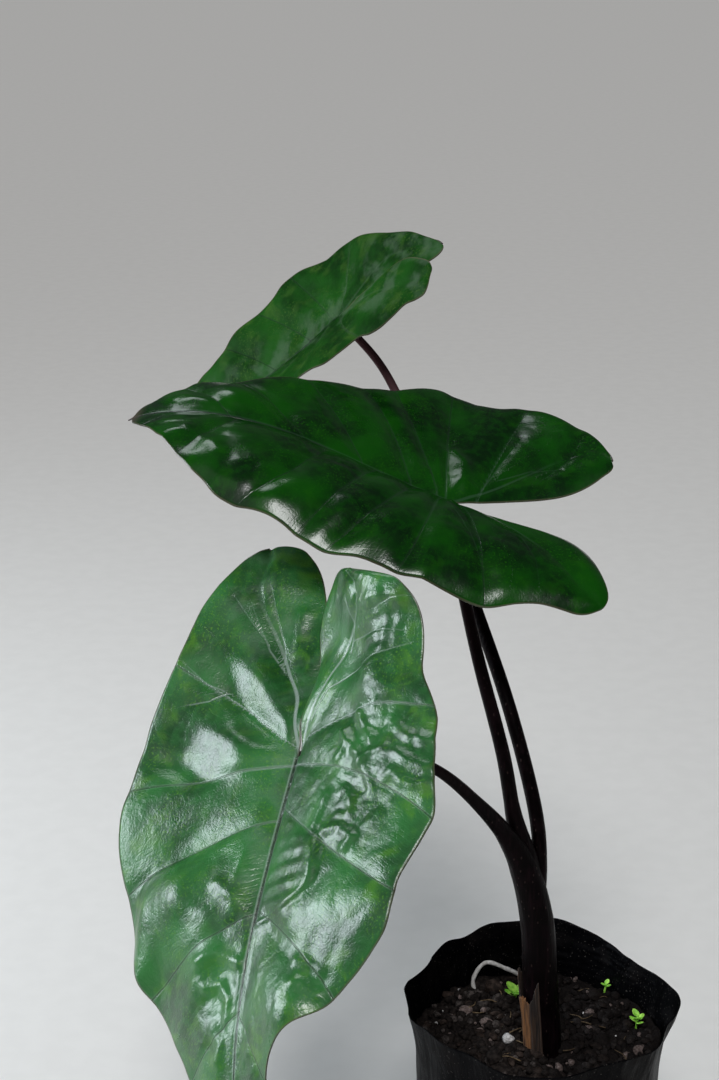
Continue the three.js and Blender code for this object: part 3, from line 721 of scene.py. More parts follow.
def lean_height(x, y, centre_x, centre_y, reach_along, reach_across, heading, slope_x, slope_y):
    """A place that leans by the two slopes, and fades out at its reach along and across a heading."""
    away_x, away_y = x - centre_x, y - centre_y
    turn = math.radians(heading)
    along = away_x * math.cos(turn) + away_y * math.sin(turn)
    across = away_y * math.cos(turn) - away_x * math.sin(turn)
    fade = np.exp(-(((along / reach_along) ** 2 + (across / reach_across) ** 2) ** 2))
    return (slope_x * away_x + slope_y * away_y) * fade


def shoulder_height(x, y, vein, slope, reach, ends):
    """A swelling that rises straight from a vein: ahead of it, or behind it for a reach below 0."""
    vein_x, vein_y = np.array(vein, float).T
    off = np.clip((x - np.interp(y, vein_y, vein_x)) * np.sign(reach), 0, None)
    first, last = ends
    inside = smoothstep(y, first - 5, first + 5) * (1 - smoothstep(y, last - 6, last + 6))
    return slope * off * np.exp(-((off / reach) ** 2)) * inside


# %% [markdown]
# Noise gives what no two leaves share: the fine folds and the places where the ripples are strong.
# It is read at the same places in every run, so the leaf stays the same one.

# %% Relief
MARGIN_WAVES = 5
CHANNEL_WIDTH = 2.2
FORK_DEPTH = 0.45
FORK_WIDTH = 1.6


def from_side_vein(fields):
    """The distance of each point from the nearest side vein, in millimetres."""
    return np.abs(fields["phase"] - np.round(fields["phase"])) * fields["gap"]


def relief(form, side, u, v, fields):
    """The height of the surface over the plain sheet, in millimetres."""
    share = fields["phase"] % 1
    dome = 4 * share * (1 - share)
    from_rib = np.abs(fields["rib"])
    inward = smoothstep(fields["edge"], 0, 12)
    x = fields["flat"][..., 0]
    y = fields["flat"][..., 1]
    noise_y = y * (1 - 2 * side)

    in_pocket = np.zeros_like(u)
    height = form["quilt"] * dome * smoothstep(from_rib, 0, 14) * (0.35 + 0.65 * inward)
    if form["pocket"] and form["pocket"]["side"] == side:
        in_pocket, pillow = pocket_shape(form["pocket"], x, y)
        height += pillow
    nearest = from_side_vein(fields)
    nearest = np.where(u > JUNCTION_AT, np.minimum(nearest, from_rib), nearest)
    valley = np.exp(-((nearest / form["valley_width"]) ** 2)) * smoothstep(from_rib, 0, 10)
    height -= form["valley"] * valley * (0.4 + 0.6 * inward)
    wobble = 1.5 * noise_at(x / 22, noise_y / 22, 4.0)
    rungs = np.sin(2 * np.pi * (fields["along"] / form["rung"] + wobble))
    strong = smoothstep(noise_at(x / 35, noise_y / 35, 9.0), -0.35, 0.35)
    height += form["ripple"][side] * rungs * dome * inward * strong * (1 - in_pocket)
    folds = np.abs(noise_at(x / 13, noise_y / 13, 1.0))
    folds += 0.5 * np.abs(noise_at(x / 6, noise_y / 6, 2.0))
    height += form["crumple"][side] * folds * inward * smoothstep(from_rib, 0, 9)
    pillows = np.abs(noise_at(x / 5.5 + 0.15 * rungs, noise_y / 8, 6.0))
    for on_side, centre_x, centre_y, reach, strength in form["puckers"]:
        if on_side == side:
            near = np.exp(-(((x - centre_x) ** 2 + (y - centre_y) ** 2) / reach**2) ** 2)
            height += strength * pillows * near * smoothstep(fields["edge"], 0, 5)
    # Ahead of the junction, leans fade out at the midrib, which is stiff and stays straight.
    steady = lerp(1, smoothstep(y, 0, 9), smoothstep(x, -12, 0))
    for lean in form["leans"]:
        height += steady * lean_height(x, noise_y, *lean)
    for on_side, vein, slope, reach, ends in form["shoulders"]:
        if on_side == side:
            height += shoulder_height(x, y, vein, slope, reach, ends)
    for on_side, line, rise, width in form["creases"]:
        if on_side == side:
            height += rise * np.exp(-((line_distance(x, y, line) / width) ** 2))
    height += form["wave"] * v**4 * np.sin(2 * np.pi * (MARGIN_WAVES * u + 0.3 * side))
    depth, width = form["roll"][side]
    height -= depth * np.clip(1 - fields["edge"] / width, 0, 1) ** 2 * smoothstep(u, 0.15, 0.35)
    height -= form["channel"] * np.exp(-((from_rib / CHANNEL_WIDTH) ** 2)) * smoothstep(u, 0, 0.3)
    height -= FORK_DEPTH * np.exp(-((fields["branch"] / FORK_WIDTH) ** 2)) * inward
    return height * smoothstep(u, 0, 0.16)


# %% [markdown]
# ## From a sheet to a leaf
# The relief gives the upper face only. A Solidify modifier thickens it downwards, by a different
# amount at each point: half a millimetre for the blade, and up to 3 mm at the midrib, which stands
# out below as a round keel, as the lobe veins and side veins do in a smaller way.

# %% Leaf mesh
ROWS = 288
COLUMNS = 64
CROWDING = 1.15
BLADE_THICKNESS = 0.5
KEEL = 3.0
RIB_KEEL = (0.75, 1.7)
VEIN_KEEL = (0.12, 0.7)


def leaf_sheet(name):
    """Points, faces and values of both halves of a leaf's upper face, in metres."""
    leaf = LEAVES[name]
    u = np.linspace(0, 1, ROWS + 1)
    v = np.linspace(0, 1, COLUMNS + 1) ** CROWDING
    u, v = np.meshgrid(u, v, indexing="ij")
    axes = leaf_axes(leaf)
    parts = []
    for side in (0, 1):
        fields = vein_fields(leaf, VEINS[name][side], BRANCHES[name], side, u, v)
        lift = relief(RELIEF[name], side, u, v, fields) + BLADE_THICKNESS / 2
        bent = bend_leaf(leaf, side, fields["flat"], lift)
        points = (np.array(leaf["junction"]) + bent @ axes) * MM
        round_off = smoothstep(u, 0, 0.5) * smoothstep(fields["edge"], 0, 7)
        keel = np.zeros_like(u)
        for away, (share, width) in ((fields["rib"], RIB_KEEL), (from_side_vein(fields), VEIN_KEEL)):
            keel += share * np.exp(-((away / width) ** 2)) * round_off * (1 - 0.7 * v)
        mirrored = fields["flat"] * np.array([1, 1 - 2 * side]) * MM
        values = {title: fields[title] * MM for title in ("gap", "rib", "edge", "branch")}
        values["phase"] = fields["phase"]
        values["keel"] = np.clip(BLADE_THICKNESS / KEEL + keel, 0, 1)
        values["flat"] = np.concatenate([mirrored, np.zeros((*u.shape, 1))], -1)
        faces = grid_faces(ROWS + 1, COLUMNS + 1, start=side * u.size, flip=side == 1)
        parts.append((points.reshape(-1, 3), faces, values))
    points = np.concatenate([part[0] for part in parts])
    faces = np.concatenate([part[1] for part in parts])
    values = {}
    for title in parts[0][2]:
        shape = (-1, 3) if title == "flat" else (-1,)
        values[title] = np.concatenate([part[2][title].reshape(shape) for part in parts])
    return weld(points, faces, values)


def add_leaf(name, upper_face, under_face):
    points, faces, values = leaf_sheet(name)
    thickness = values.pop("keel")
    piece = add_piece(f"leaf_{name}", points, faces, [upper_face, under_face],
                      [f"blade_{name}"], values)
    group = piece.vertex_groups.new(name="thickness")
    for index, weight in enumerate(thickness.tolist()):
        group.add([index], weight, "REPLACE")
    solidify = thicken(piece, KEEL)
    solidify.vertex_group = group.name
    solidify.material_offset = 1
    solidify.material_offset_rim = 1


# %% [markdown]
# ## The finish of a leaf
# The upper face is a deep green with a waxy gloss. Its colour isn't even: there are lighter
# clouds, yellow-green patches near the margin, and tiny pale specks. The veins are drawn from the
# phase that the mesh carries, so they follow the swellings exactly, and away from the junction the
# side veins are painted dark, as painted shade in their grooves. Between them run hair-fine
# parallel veins, too small for the mesh, which a Bump node shades. The blue-grey veil on the real
# leaf is partly what its wax mirrors, and that comes by itself from the window lamp. The rest of it
# is painted sheen: pale clouds beside the midrib.

# %% Upper face
VEIN_ABOVE = 0.0005
VEIN_GROOVE_SHADE = colour(0.008, 0.022, 0.010)
MIDRIB = colour(0.018, 0.028, 0.022)
DRY_TIP = colour(0.10, 0.065, 0.060)
MARGIN_LINE = colour(0.10, 0.085, 0.055)


def vein_lines(start, width):
    """The phase, a mask of the side veins, and the distances from them and from the midrib."""
    phase = start.attribute("phase")
    away = abs(phase - phase.math("ROUND", phase)) * start.attribute("gap")
    side_vein = 1 - away.step(0.2 * width, width)
    return phase, side_vein, away, abs(start.attribute("rib"))


def leaf_face(name, deep, light, patch, pale, pale_reach, vein_share, roughness, gloss, texture,
              patch_share, length, painted_sheen):
    material, shader, start = new_material(name)
    flat = start.attribute("flat", 1)
    edge = start.attribute("edge")
    branch = abs(start.attribute("branch"))
    phase, side_vein, away, rib = vein_lines(start, VEIN_ABOVE)
    from_junction = start.node("ShaderNodeVectorMath", {"operation": "LENGTH"}, {0: flat}, 1)
    ahead = start.node("ShaderNodeSeparateXYZ", None, {0: flat})
    in_lobe = 1 - ahead.step(-0.006, 0.002)
    near_junction = 1 - from_junction.step(0.35 * pale_reach, pale_reach)
    pale_zone = near_junction * (1 - ahead.step(-0.004, 0.012) * 0.75)
    at_tip = ahead.step(length - 0.009, length - 0.001)

    clouds = start.noise(flat, 32, detail=4).step(0.38, 0.66)
    mottle = start.noise(flat, 230, detail=4).step(0.42, 0.68)
    near_edge = 1 - edge.step(0.003, 0.028)
    patches = start.noise(flat, 100, detail=5, distortion=0.5).step(0.50, 0.70)
    specks = start.noise(flat, 900, detail=2).step(0.54, 0.68) * start.noise(flat, 45).step(0.42, 0.62)
    lanes = phase.math("PINGPONG", phase * 17 + start.noise(flat, 110) * 1.8, 0.5)
    fine_vein = (1 - lanes.step(0.03, 0.22)) * start.noise(flat, 60).step(0.40, 0.62)
    net = start.cells(flat, 620, "DISTANCE_TO_EDGE").step(0.02, 0.22)
    flank = away.step(0.0002, 0.0004) * (1 - away.step(0.0005, 0.0010))
    fork = 1 - branch.step(0.0001, 0.0006)
    costa = (1 - rib.step(0.0004, 0.0010)) * in_lobe
    rib_core = (1 - rib.step(0.0006, 0.0011)) * (1 - in_lobe)
    rib_flank = rib.step(0.0006, 0.0010) * (1 - rib.step(0.0012, 0.0018)) * (1 - in_lobe)

    base = clouds.mix(deep, light)
    base = (mottle * 0.40).mix(base, light)
    base = (patches * (near_edge * 0.65 + 0.35) * patch_share).mix(base, patch)
    base = (specks * 0.6).mix(base, patch)
    # Painted sheen: pale clouds beside the midrib stand for the blue-grey veil that the wax mirrors.
    sheen_beside_rib = (1 - rib.step(0.004, 0.026)) * start.noise(flat, 75, detail=4).step(0.46, 0.62)
    base = (sheen_beside_rib * painted_sheen).mix(base, pale)
    base = (fine_vein * 0.12).mix(base, light)
    # Painted shade: the side veins are darkened away from the junction, as the shade in their grooves.
    base = (side_vein * (1 - pale_zone) * 0.55).mix(base, VEIN_GROOVE_SHADE)
    base = (flank * (pale_zone * 0.4 + 0.14) * vein_share).mix(base, pale)
    base = (side_vein * pale_zone * vein_share).mix(base, pale)
    base = (fork * (pale_zone * 0.8 + 0.1) * vein_share).mix(base, pale)
    base = (costa * (near_junction * 0.95 + 0.05) * vein_share).mix(base, pale)
    base = (rib_flank * 0.55 * vein_share).mix(base, pale)
    base = (rib_core * 0.8).mix(base, MIDRIB)
    base = (at_tip * 0.8).mix(base, DRY_TIP)
    base = ((1 - edge.step(0.0002, 0.0009)) * 0.6).mix(base, MARGIN_LINE)

    height = fine_vein * -0.5 + side_vein * -3.0 + rib_core * -2.0 + rib_flank * 1.0 + net * 0.5
    height = height + mottle * 1.2 - fork * 2.0
    start.feed(shader, {
        "Base Color": base,
        "Roughness": roughness + start.noise(flat, 90, detail=3) * 0.16 + side_vein * 0.05,
        "Normal": start.bump(height, texture),
        "Specular IOR Level": gloss,
    })
    return material


# %% [markdown]
# The lower face is paler and matt, without the wax. Its veins stand out in purple-brown, and they
# are wider here than above, because the keels of the mesh are.

# %% Underside
VEIN_BELOW = 0.0009


def leaf_underside():
    material, shader, start = new_material("leaf underside")
    flat = start.attribute("flat", 1)
    _, side_vein, _, rib = vein_lines(start, VEIN_BELOW)
    main_vein = 1 - rib.step(0.6 * VEIN_BELOW, 1.8 * VEIN_BELOW)
    clouds = start.noise(flat, 40, detail=4).step(0.35, 0.65)
    base = clouds.mix(colour(0.022, 0.032, 0.018), colour(0.036, 0.042, 0.025))
    base = (side_vein * 0.7).mix(base, colour(0.035, 0.018, 0.018))
    base = (main_vein * 0.9).mix(base, colour(0.030, 0.014, 0.016))
    start.feed(shader, {
        "Base Color": base,
        "Roughness": 0.5 + start.noise(flat, 120) * 0.15,
        "Normal": start.bump(start.noise(flat, 260, detail=3), 0.0003),
    })
    return material


# %% [markdown]
# The three leaves differ in age. The lower one is a milky mid green with pale veins, the milk partly
# its own gloss and partly painted sheen, the middle one is dark and the glossiest, and the upper one
# is matt with yellowish patches and the most painted sheen.

# %% The three leaves
underside = leaf_underside()
face_lower = leaf_face(
    "leaf face, lower", deep=colour(0.008, 0.058, 0.012), light=colour(0.025, 0.150, 0.032),
    patch=colour(0.085, 0.25, 0.012), pale=colour(0.30, 0.38, 0.34), pale_reach=0.085,
    vein_share=0.75, roughness=0.22, gloss=0.65, texture=0.00005, patch_share=0.50, length=0.163,
    painted_sheen=0.10)
face_middle = leaf_face(
    "leaf face, middle", deep=colour(0.0010, 0.015, 0.0018), light=colour(0.0035, 0.062, 0.0014),
    patch=colour(0.010, 0.090, 0.001), pale=colour(0.07, 0.13, 0.09), pale_reach=0.070,
    vein_share=0.25, roughness=0.12, gloss=0.38, texture=0.00002, patch_share=0.4, length=0.153,
    painted_sheen=0.0)
face_upper = leaf_face(
    "leaf face, upper", deep=colour(0.002, 0.024, 0.0015), light=colour(0.008, 0.066, 0.005),
    patch=colour(0.045, 0.110, 0.016), pale=colour(0.08, 0.13, 0.08), pale_reach=0.060,
    vein_share=0.20, roughness=0.50, gloss=0.05, texture=0.00003, patch_share=0.5, length=0.117,
    painted_sheen=0.45)
add_leaf("lower", face_lower, underside)
add_leaf("middle", face_middle, underside)
add_leaf("upper", face_upper, underside)

# %% [markdown]
# ## The stalks
# Each leaf stalk clasps the younger ones with a sheath, and the sheaths together look like a stem.
# A stalk is a tube that is swept along a curve, with a radius for every step. The curve is
# the centripetal kind of Catmull-Rom curve, which passes through its points without overshooting.

# %% Swept tubes
STEM_AXIS = [(3, -11, 101), (1.6, -11, 122), (-0.8, -11.5, 152), (-3, -12, 180)]
STALKS = {
    "lower": dict(
        foot=102.6,
        points=[(-9.5, -13, 207), (-18, -18, 225), (-32, -28, 246),
                (-51, -42, 269), (-70, -54, 282), (-92, -68, 290)],
        radii=[8.2, 8.1, 8.0, 7.8, 6.9, 4.1, 2.9, 2.4, 2.2, 2.2, 2.3]),
    "middle": dict(
        foot=101.8,
        points=[(-7.2, -12, 206), (-14.6, -12, 232), (-20, -8, 261),
                (-31.6, 3, 304), (-39, 11, 336), (-44, 19, 361)],
        radii=[6.3, 6.2, 6.1, 6.0, 5.2, 3.4, 3.2, 3.0, 2.8, 2.6, 2.5]),
    "upper": dict(
        foot=101,
        points=[(-2.2, -10, 206), (-3.8, -5, 228), (-15.4, 12, 273), (-31.7, 40, 317),
                (-52.3, 80, 370), (-73, 111, 411), (-88, 122, 427)],
        radii=[3.4, 3.4, 3.4, 3.4, 3.3, 3.2, 3.1, 2.8, 2.5, 2.2, 2.0, 1.9]),
}
CURVE_STEPS = 60


def curve_through(points, count):
    """Evenly spaced points on the centripetal Catmull-Rom curve through the given ones."""
    points = np.asarray(points, float)
    ends = np.concatenate([[2 * points[0] - points[1]], points, [2 * points[-1] - points[-2]]])
    dense = []
    for p0, p1, p2, p3 in zip(ends, ends[1:], ends[2:], ends[3:]):
        d0, d1, d2 = (math.sqrt(np.linalg.norm(b - a)) for a, b in ((p0, p1), (p1, p2), (p2, p3)))
        start = ((p1 - p0) / d0 - (p2 - p0) / (d0 + d1) + (p2 - p1) / d1) * d1
        end = ((p2 - p1) / d1 - (p3 - p1) / (d1 + d2) + (p3 - p2) / d2) * d1
        w = np.linspace(0, 1, CURVE_STEPS, endpoint=False)[:, None]
        cubic = (2 * p1 - 2 * p2 + start + end) * w**3
        dense.append(cubic + (3 * p2 - 3 * p1 - 2 * start - end) * w**2 + start * w + p1)
    dense = np.concatenate([*dense, points[-1:]])
    length = np.concatenate([[0], np.cumsum(np.linalg.norm(np.diff(dense, axis=0), axis=1))])
    even = np.linspace(0, length[-1], count)
    return np.stack([np.interp(even, length, dense[:, k]) for k in range(3)], 1)


def swept_tube(path, radius_at, sides, start=0):
    """A tube round a path, closed at both ends. radius_at gives the radius at a share and an angle."""
    ahead = np.gradient(path, axis=0)
    ahead /= np.linalg.norm(ahead, axis=1)[:, None]
    side = np.cross(ahead[0], (0, 1, 0))
    rings = []
    angles = np.linspace(0, 2 * np.pi, sides, endpoint=False)
    for i, (centre, forward) in enumerate(zip(path, ahead)):
        side = side - forward * (side @ forward)
        side /= np.linalg.norm(side)
        other = np.cross(forward, side)
        radius = radius_at(i / (len(path) - 1), angles)
        wheel = np.cos(angles)[:, None] * side + np.sin(angles)[:, None] * other
        rings.append(centre + wheel * np.reshape(radius, (-1, 1)))
    points = np.concatenate([*rings, path[:1], path[-1:]])
    faces = grid_faces(len(path), sides, start, closed=True).tolist()
    first, last = start + len(path) * sides, start + len(path) * sides + 1
    top = start + (len(path) - 1) * sides
    for k in range(sides):
        after = (k + 1) % sides
        faces.append([start + after, start + k, first])
        faces.append([top + k, top + after, last])
    shares = np.concatenate([np.repeat(np.linspace(0, 1, len(path)), sides), [0, 1]])
    return points, faces, shares


# %% [markdown]
# The stalks are almost black, with a purple cast and a satin gloss. Long fine ridges run up them, and
# pale dots of cork are scattered on them. Near the top each is painted redder, and the youngest one a
# dusty pink below its leaf: partly their own tone and partly painted light where the stalks are lit.

# %% Stalk material
def stalk_finish(name, lit_top_colour, lit_top_share):
    material, shader, start = new_material(name)
    place = start.object_place()
    rise = start.attribute("rise")
    streaks = start.noise(start.object_place((1, 1, 0.06)), 700, detail=3)
    mottle = start.noise(place, 120, detail=4).step(0.4, 0.7)
    dots = 1 - start.cells(start.object_place((1, 1, 0.5)), 420).step(0.08, 0.2)
    base = mottle.mix(colour(0.0015, 0.0008, 0.001), colour(0.004, 0.0018, 0.0025))
    base = (streaks.step(0.5, 0.75) * 0.4).mix(base, colour(0.012, 0.005, 0.007))
    base = (dots * 0.30).mix(base, colour(0.07, 0.045, 0.04))
    # Partly painted light: the upper end is made lighter and redder where the stalk is lit below its leaf.
    base = (rise.step(0.55, 1.0) * lit_top_share).mix(base, lit_top_colour)
    start.feed(shader, {
        "Base Color": base,
        "Roughness": 0.34 + mottle * 0.14,
        "Normal": start.bump(streaks * 0.8 + dots * 0.6, 0.0003),
        "IOR": 1.12,
    })
    return material


# %% [markdown]
# The solids give the path and the radii of each stalk. The finer mesh adds the ridges, and its top
# is cut off a little below the blade, so that it doesn't come out through the sheet.

# %% Stalk meshes
STALK_SIDES = 36
STALK_RINGS = 220
TOP_OF_STALK = 1.3


def add_stalk(name, material):
    stalk = STALKS[name]
    leaf = LEAVES[name]
    foot = (*STEM_AXIS[0][:2], stalk["foot"])
    path = curve_through([foot, *STEM_AXIS[1:], *stalk["points"], leaf["junction"]], STALK_RINGS)
    knots = np.linspace(0, 1, len(stalk["radii"]))

    def radius_at(share, angles):
        ridges = 1 + 0.012 * np.sin(9 * angles + 2 * share) + 0.008 * np.sin(17 * angles)
        return np.interp(share, knots, stalk["radii"]) * ridges

    points, faces, shares = swept_tube(path, radius_at, STALK_SIDES)
    up = leaf_axes(leaf)[2]
    over = np.clip((points - np.array(leaf["junction"])) @ up + TOP_OF_STALK, 0, None)
    points = points - np.where(shares > 0.9, over, 0)[:, None] * up
    return add_piece(f"petiole_{name}", points * MM, faces, [material],
                     [f"stalk_{name}"], dict(rise=shares))


dark_stalk = stalk_finish("stalk", colour(0.020, 0.009, 0.011), 0.5)
dusty_lit_stalk = stalk_finish("stalk, dusty and lit top", colour(0.085, 0.040, 0.045), 0.9)
add_stalk("lower", dark_stalk)
add_stalk("middle", dark_stalk)
add_stalk("upper", dusty_lit_stalk)

# %% [markdown]
# ## The grow bag
# The bag is a tube of thin black polythene, filled with soil and turned up into a wavy mouth. Its
# radius is a formula of the angle round it and of the height, so that the waves, the fold on the
# right and the rim that stands up at the back are all in one place. Fine crinkles, which film
# always has, are added as noise that grows towards the free rim.

# %% Bag form
BAG = dict(height=130, bottom_radius=50, wall_radius=57.5, mouth_radius=63, flare_height=96,
           film=1.0, back_rise=8, fold_bulge=3)
SOIL_LEVEL = 112


def bump_at(angle, centre, width):
    """A hump of height 1 round the bag, with its centre and width in degrees."""
    centre = math.radians(centre)
    away = np.arctan2(np.sin(angle - centre), np.cos(angle - centre))
    return np.exp(-((away / math.radians(width)) ** 2))


def rim_height(angle):
    humps = BAG["back_rise"] * bump_at(angle, 88, 48) + 2.5 * bump_at(angle, 130, 9)
    dips = 2.5 * bump_at(angle, 155, 16) + 3 * bump_at(angle, -30, 20)
    return BAG["height"] + humps - dips + 1.2 * np.sin(5 * angle + 1) + 0.6 * np.sin(11 * angle)


def bag_radius(angle, z):
    rise = z / BAG["height"]
    flare = np.clip((z - BAG["flare_height"]) / (BAG["height"] - BAG["flare_height"]), 0, None)
    wall = lerp(BAG["bottom_radius"] + 3, BAG["wall_radius"], smoothstep(z, 0, 40))
    wave = 0.5 * np.sin(4 * angle + 1.7) + 0.5 * np.sin(7 * angle + 0.4) + 0.35 * np.sin(13 * angle + 2)
    belly = BAG["fold_bulge"] * bump_at(angle, -4, 11) * smoothstep(z, SOIL_LEVEL - 2, 124)
    pinch = 3 * bump_at(angle, -142, 18) * flare
    opening = (BAG["mouth_radius"] - BAG["wall_radius"]) * flare**1.6
    return wall + opening + wave * (0.5 + 1.5 * rise**3) + belly - pinch


def crinkle(angle, z):
    """How far the film stands off its smooth form, in millimetres."""
    x = 58 * np.cos(angle)
    y = 58 * np.sin(angle)
    free = smoothstep(z, SOIL_LEVEL - 6, SOIL_LEVEL + 10)
    upright = np.abs(noise_at(x / 9, y / 9, z / 40))
    dents = noise_at(x / 24, y / 24, z / 24 + 7)
    level = np.abs(noise_at(x / 16, y / 16, z / 3.2)) * bump_at(angle, 70, 34)
    return 0.9 * dents * (1 - free) - 0.7 * upright * (0.4 + 0.9 * free) - 1.3 * level * free


angles = np.linspace(0, 2 * np.pi, 73)
print(f"rim: {rim_height(angles).min():.0f} to {rim_height(angles).max():.0f} mm over the floor")

# %% [markdown]
# The rows of the mesh follow the bag from the middle of its bottom up to the rim. They lie closer
# together above the soil, where the free film shows its creases.

# %% Bag mesh
BAG_DIVISIONS = 320
FILM = 0.45


def bag_mesh():
    angle = np.linspace(0, 2 * np.pi, BAG_DIVISIONS, endpoint=False)
    rows = []
    for share in np.linspace(0.02, 1, 12):
        radius = share * BAG["bottom_radius"] * np.ones_like(angle)
        rows.append((radius, np.zeros_like(angle)))
    for z in (0.6, 1.6, 3.0):
        round_off = BAG["bottom_radius"] + 3 * math.sqrt(z / 3)
        rows.append((round_off * np.ones_like(angle), z * np.ones_like(angle)))
    for z in np.linspace(5, SOIL_LEVEL - 8, 46):
        z = z * np.ones_like(angle)
        rows.append((bag_radius(angle, z) + crinkle(angle, z) * smoothstep(z, 3, 20), z))
    for share in np.linspace(0, 1, 36):
        z = lerp(SOIL_LEVEL - 6, rim_height(angle), share)
        rows.append((bag_radius(angle, z) + crinkle(angle, z), z))
    rings = [np.stack([r * np.cos(angle), r * np.sin(angle), z], 1) for r, z in rows]
    points = np.concatenate([*rings, [(0, 0, 0)]])
    faces = grid_faces(len(rings), BAG_DIVISIONS, closed=True).tolist()
    centre = len(points) - 1
    for k in range(BAG_DIVISIONS):
        faces.append([(k + 1) % BAG_DIVISIONS, k, centre])
    rim = rim_height(np.arctan2(points[:, 1], points[:, 0]))
    return points, faces, rim - points[:, 2]


def bag_finish():
    """Black polythene: a soft gloss, crinkles finer than the mesh, dust at the rim, soil marks."""
    material, shader, start = new_material("black film")
    place = start.object_place()
    below_rim = start.attribute("below_rim")
    creases = start.noise(start.object_place((1, 1, 0.35)), 130, detail=5, distortion=1.2)
    pleats = start.noise(start.object_place((1, 1, 0.08)), 260, detail=3)
    dust = start.noise(place, 60, detail=6).step(0.5, 0.75) * (1 - below_rim.step(0.002, 0.045))
    specks = start.noise(place, 1100, detail=1).step(0.68, 0.74)
    base = dust.mix(colour(0.001, 0.001, 0.0015), colour(0.008, 0.007, 0.007))
    base = (specks * 0.4).mix(base, colour(0.12, 0.11, 0.10))
    start.feed(shader, {
        "Base Color": base,
        "Roughness": 0.36 + dust * 0.3 + start.noise(place, 200, detail=3) * 0.15,
        "Normal": start.bump(creases + pleats * 0.6, 0.0007),
        "IOR": 1.12,
    })
    return material


def add_bag():
    points, faces, below_rim = bag_mesh()
    piece = add_piece("bag", points * MM, faces, [bag_finish()], ["grow_bag"],
                      dict(below_rim=below_rim * MM))
    thicken(piece, FILM)


add_bag()

# %% [markdown]
# ## The soil
# Potting mix is a heap of crumbs, bark flakes and a little pale grit. A heightfield alone looks like
# cloth, and a million grains would be too heavy, so it is both: an uneven bed, and over it many small
# lumps that are half sunk in it. Each lump is a ball of 80 faces whose points are pushed in and out.
# The largest lumps lie where the solid model has them, so they come from the same seeded numbers.
#
# Shade is painted on the mix, less on the left of the stem and more on the right. One value that
# rises across the bag darkens every finish, each by a share of its own.

# %% Soil materials
SHADE_LEFT = 0.60
SHADE_RIGHT = 0.92
SOIL_SHADE = colour(0.003, 0.002, 0.002)


def soil_finish(name, dark, light, roughness=0.95, scale=500, shade_share=1.0):
    material, shader, start = new_material(name)
    place = start.object_place()
    grain = start.noise(place, scale, detail=5)
    spots = start.noise(place, scale * 2.4, detail=2)
    base = grain.step(0.35, 0.68).mix(dark, light)
    base = (spots.step(0.62, 0.75) * 0.4).mix(base, light)
    across = start.node("ShaderNodeSeparateXYZ", None, {0: start.object_place()}) + 0.012 * spots
    # Painted shade: darker towards the right of the stem, and each finish takes its own share of it.
    painted_shade = across.step(-0.012, 0.020) * (SHADE_RIGHT - SHADE_LEFT) + SHADE_LEFT
    base = (painted_shade * shade_share).mix(base, SOIL_SHADE)
    start.feed(shader, {
        "Base Color": base,
        "Roughness": roughness - spots * 0.2,
        "Normal": start.bump(grain + spots * 0.5, 0.0009),
        "Specular IOR Level": 0.12,
    })
    return material


SOIL_FINISHES = [
    soil_finish("soil", colour(0.012, 0.009, 0.008), colour(0.055, 0.043, 0.038)),
    soil_finish("bark", colour(0.030, 0.020, 0.016), colour(0.120, 0.085, 0.070), 0.85, 350),
    soil_finish("pink grit", colour(0.20, 0.145, 0.13), colour(0.46, 0.36, 0.34), 0.8, 900, 0.75),
    soil_finish("pale grit", colour(0.40, 0.39, 0.39), colour(0.80, 0.78, 0.78), 0.8, 900, 0.1),
    soil_finish("straw", colour(0.22, 0.145, 0.08), colour(0.48, 0.35, 0.21), 0.75, 900, 0.85),
    soil_finish("dry crumb", colour(0.060, 0.050, 0.047), colour(0.220, 0.185, 0.172), 0.9, 600),
]
CRUMB, BARK, PINK, PALE, STRAW, DRY = range(len(SOIL_FINISHES))


# %% [markdown]
# The surface is a sum of slow waves, and everything that stands in the soil is measured from it.
# The stem, the root and the seedlings keep a clear place round them.

# %% Soil surface
SOIL_GAP = 0.7
STEM_CLEAR = 13.2
CHUNKS = dict(count=26, smallest=2.8, largest=5.2, within=47)
NUMBERS_OF_A_SHAPE = 13
SEEDLINGS = [
    dict(name="seedling_left", foot=(-8, 31), height=4, leaves=5, leaf=7.5),
    dict(name="seedling_back", foot=(37, 41), height=5, leaves=3, leaf=3.2),
    dict(name="seedling_right", foot=(48, 6), height=7, leaves=5, leaf=4.6),
]
ROOT_LOOP = [(-27, 47, 106), (-28, 48, 114), (-22, 50, 122),
             (-12, 50, 119), (-3, 49, 114), (0, 48, 107)]


def soil_height(x, y):
    slow = 1.6 * np.sin(x * 0.11 + 0.6) * np.cos(y * 0.13 + 0.3)
    return SOIL_LEVEL + slow + np.sin(x * 0.31 + y * 0.17) + 0.7 * np.cos(y * 0.37 - x * 0.21)


def seeded(seed):
    """A stream of numbers from 0 to 1 that is the same in every run."""
    state = seed
    while True:
        state = (state * 1664525 + 1013904223) % 2**32
        yield state / 2**32


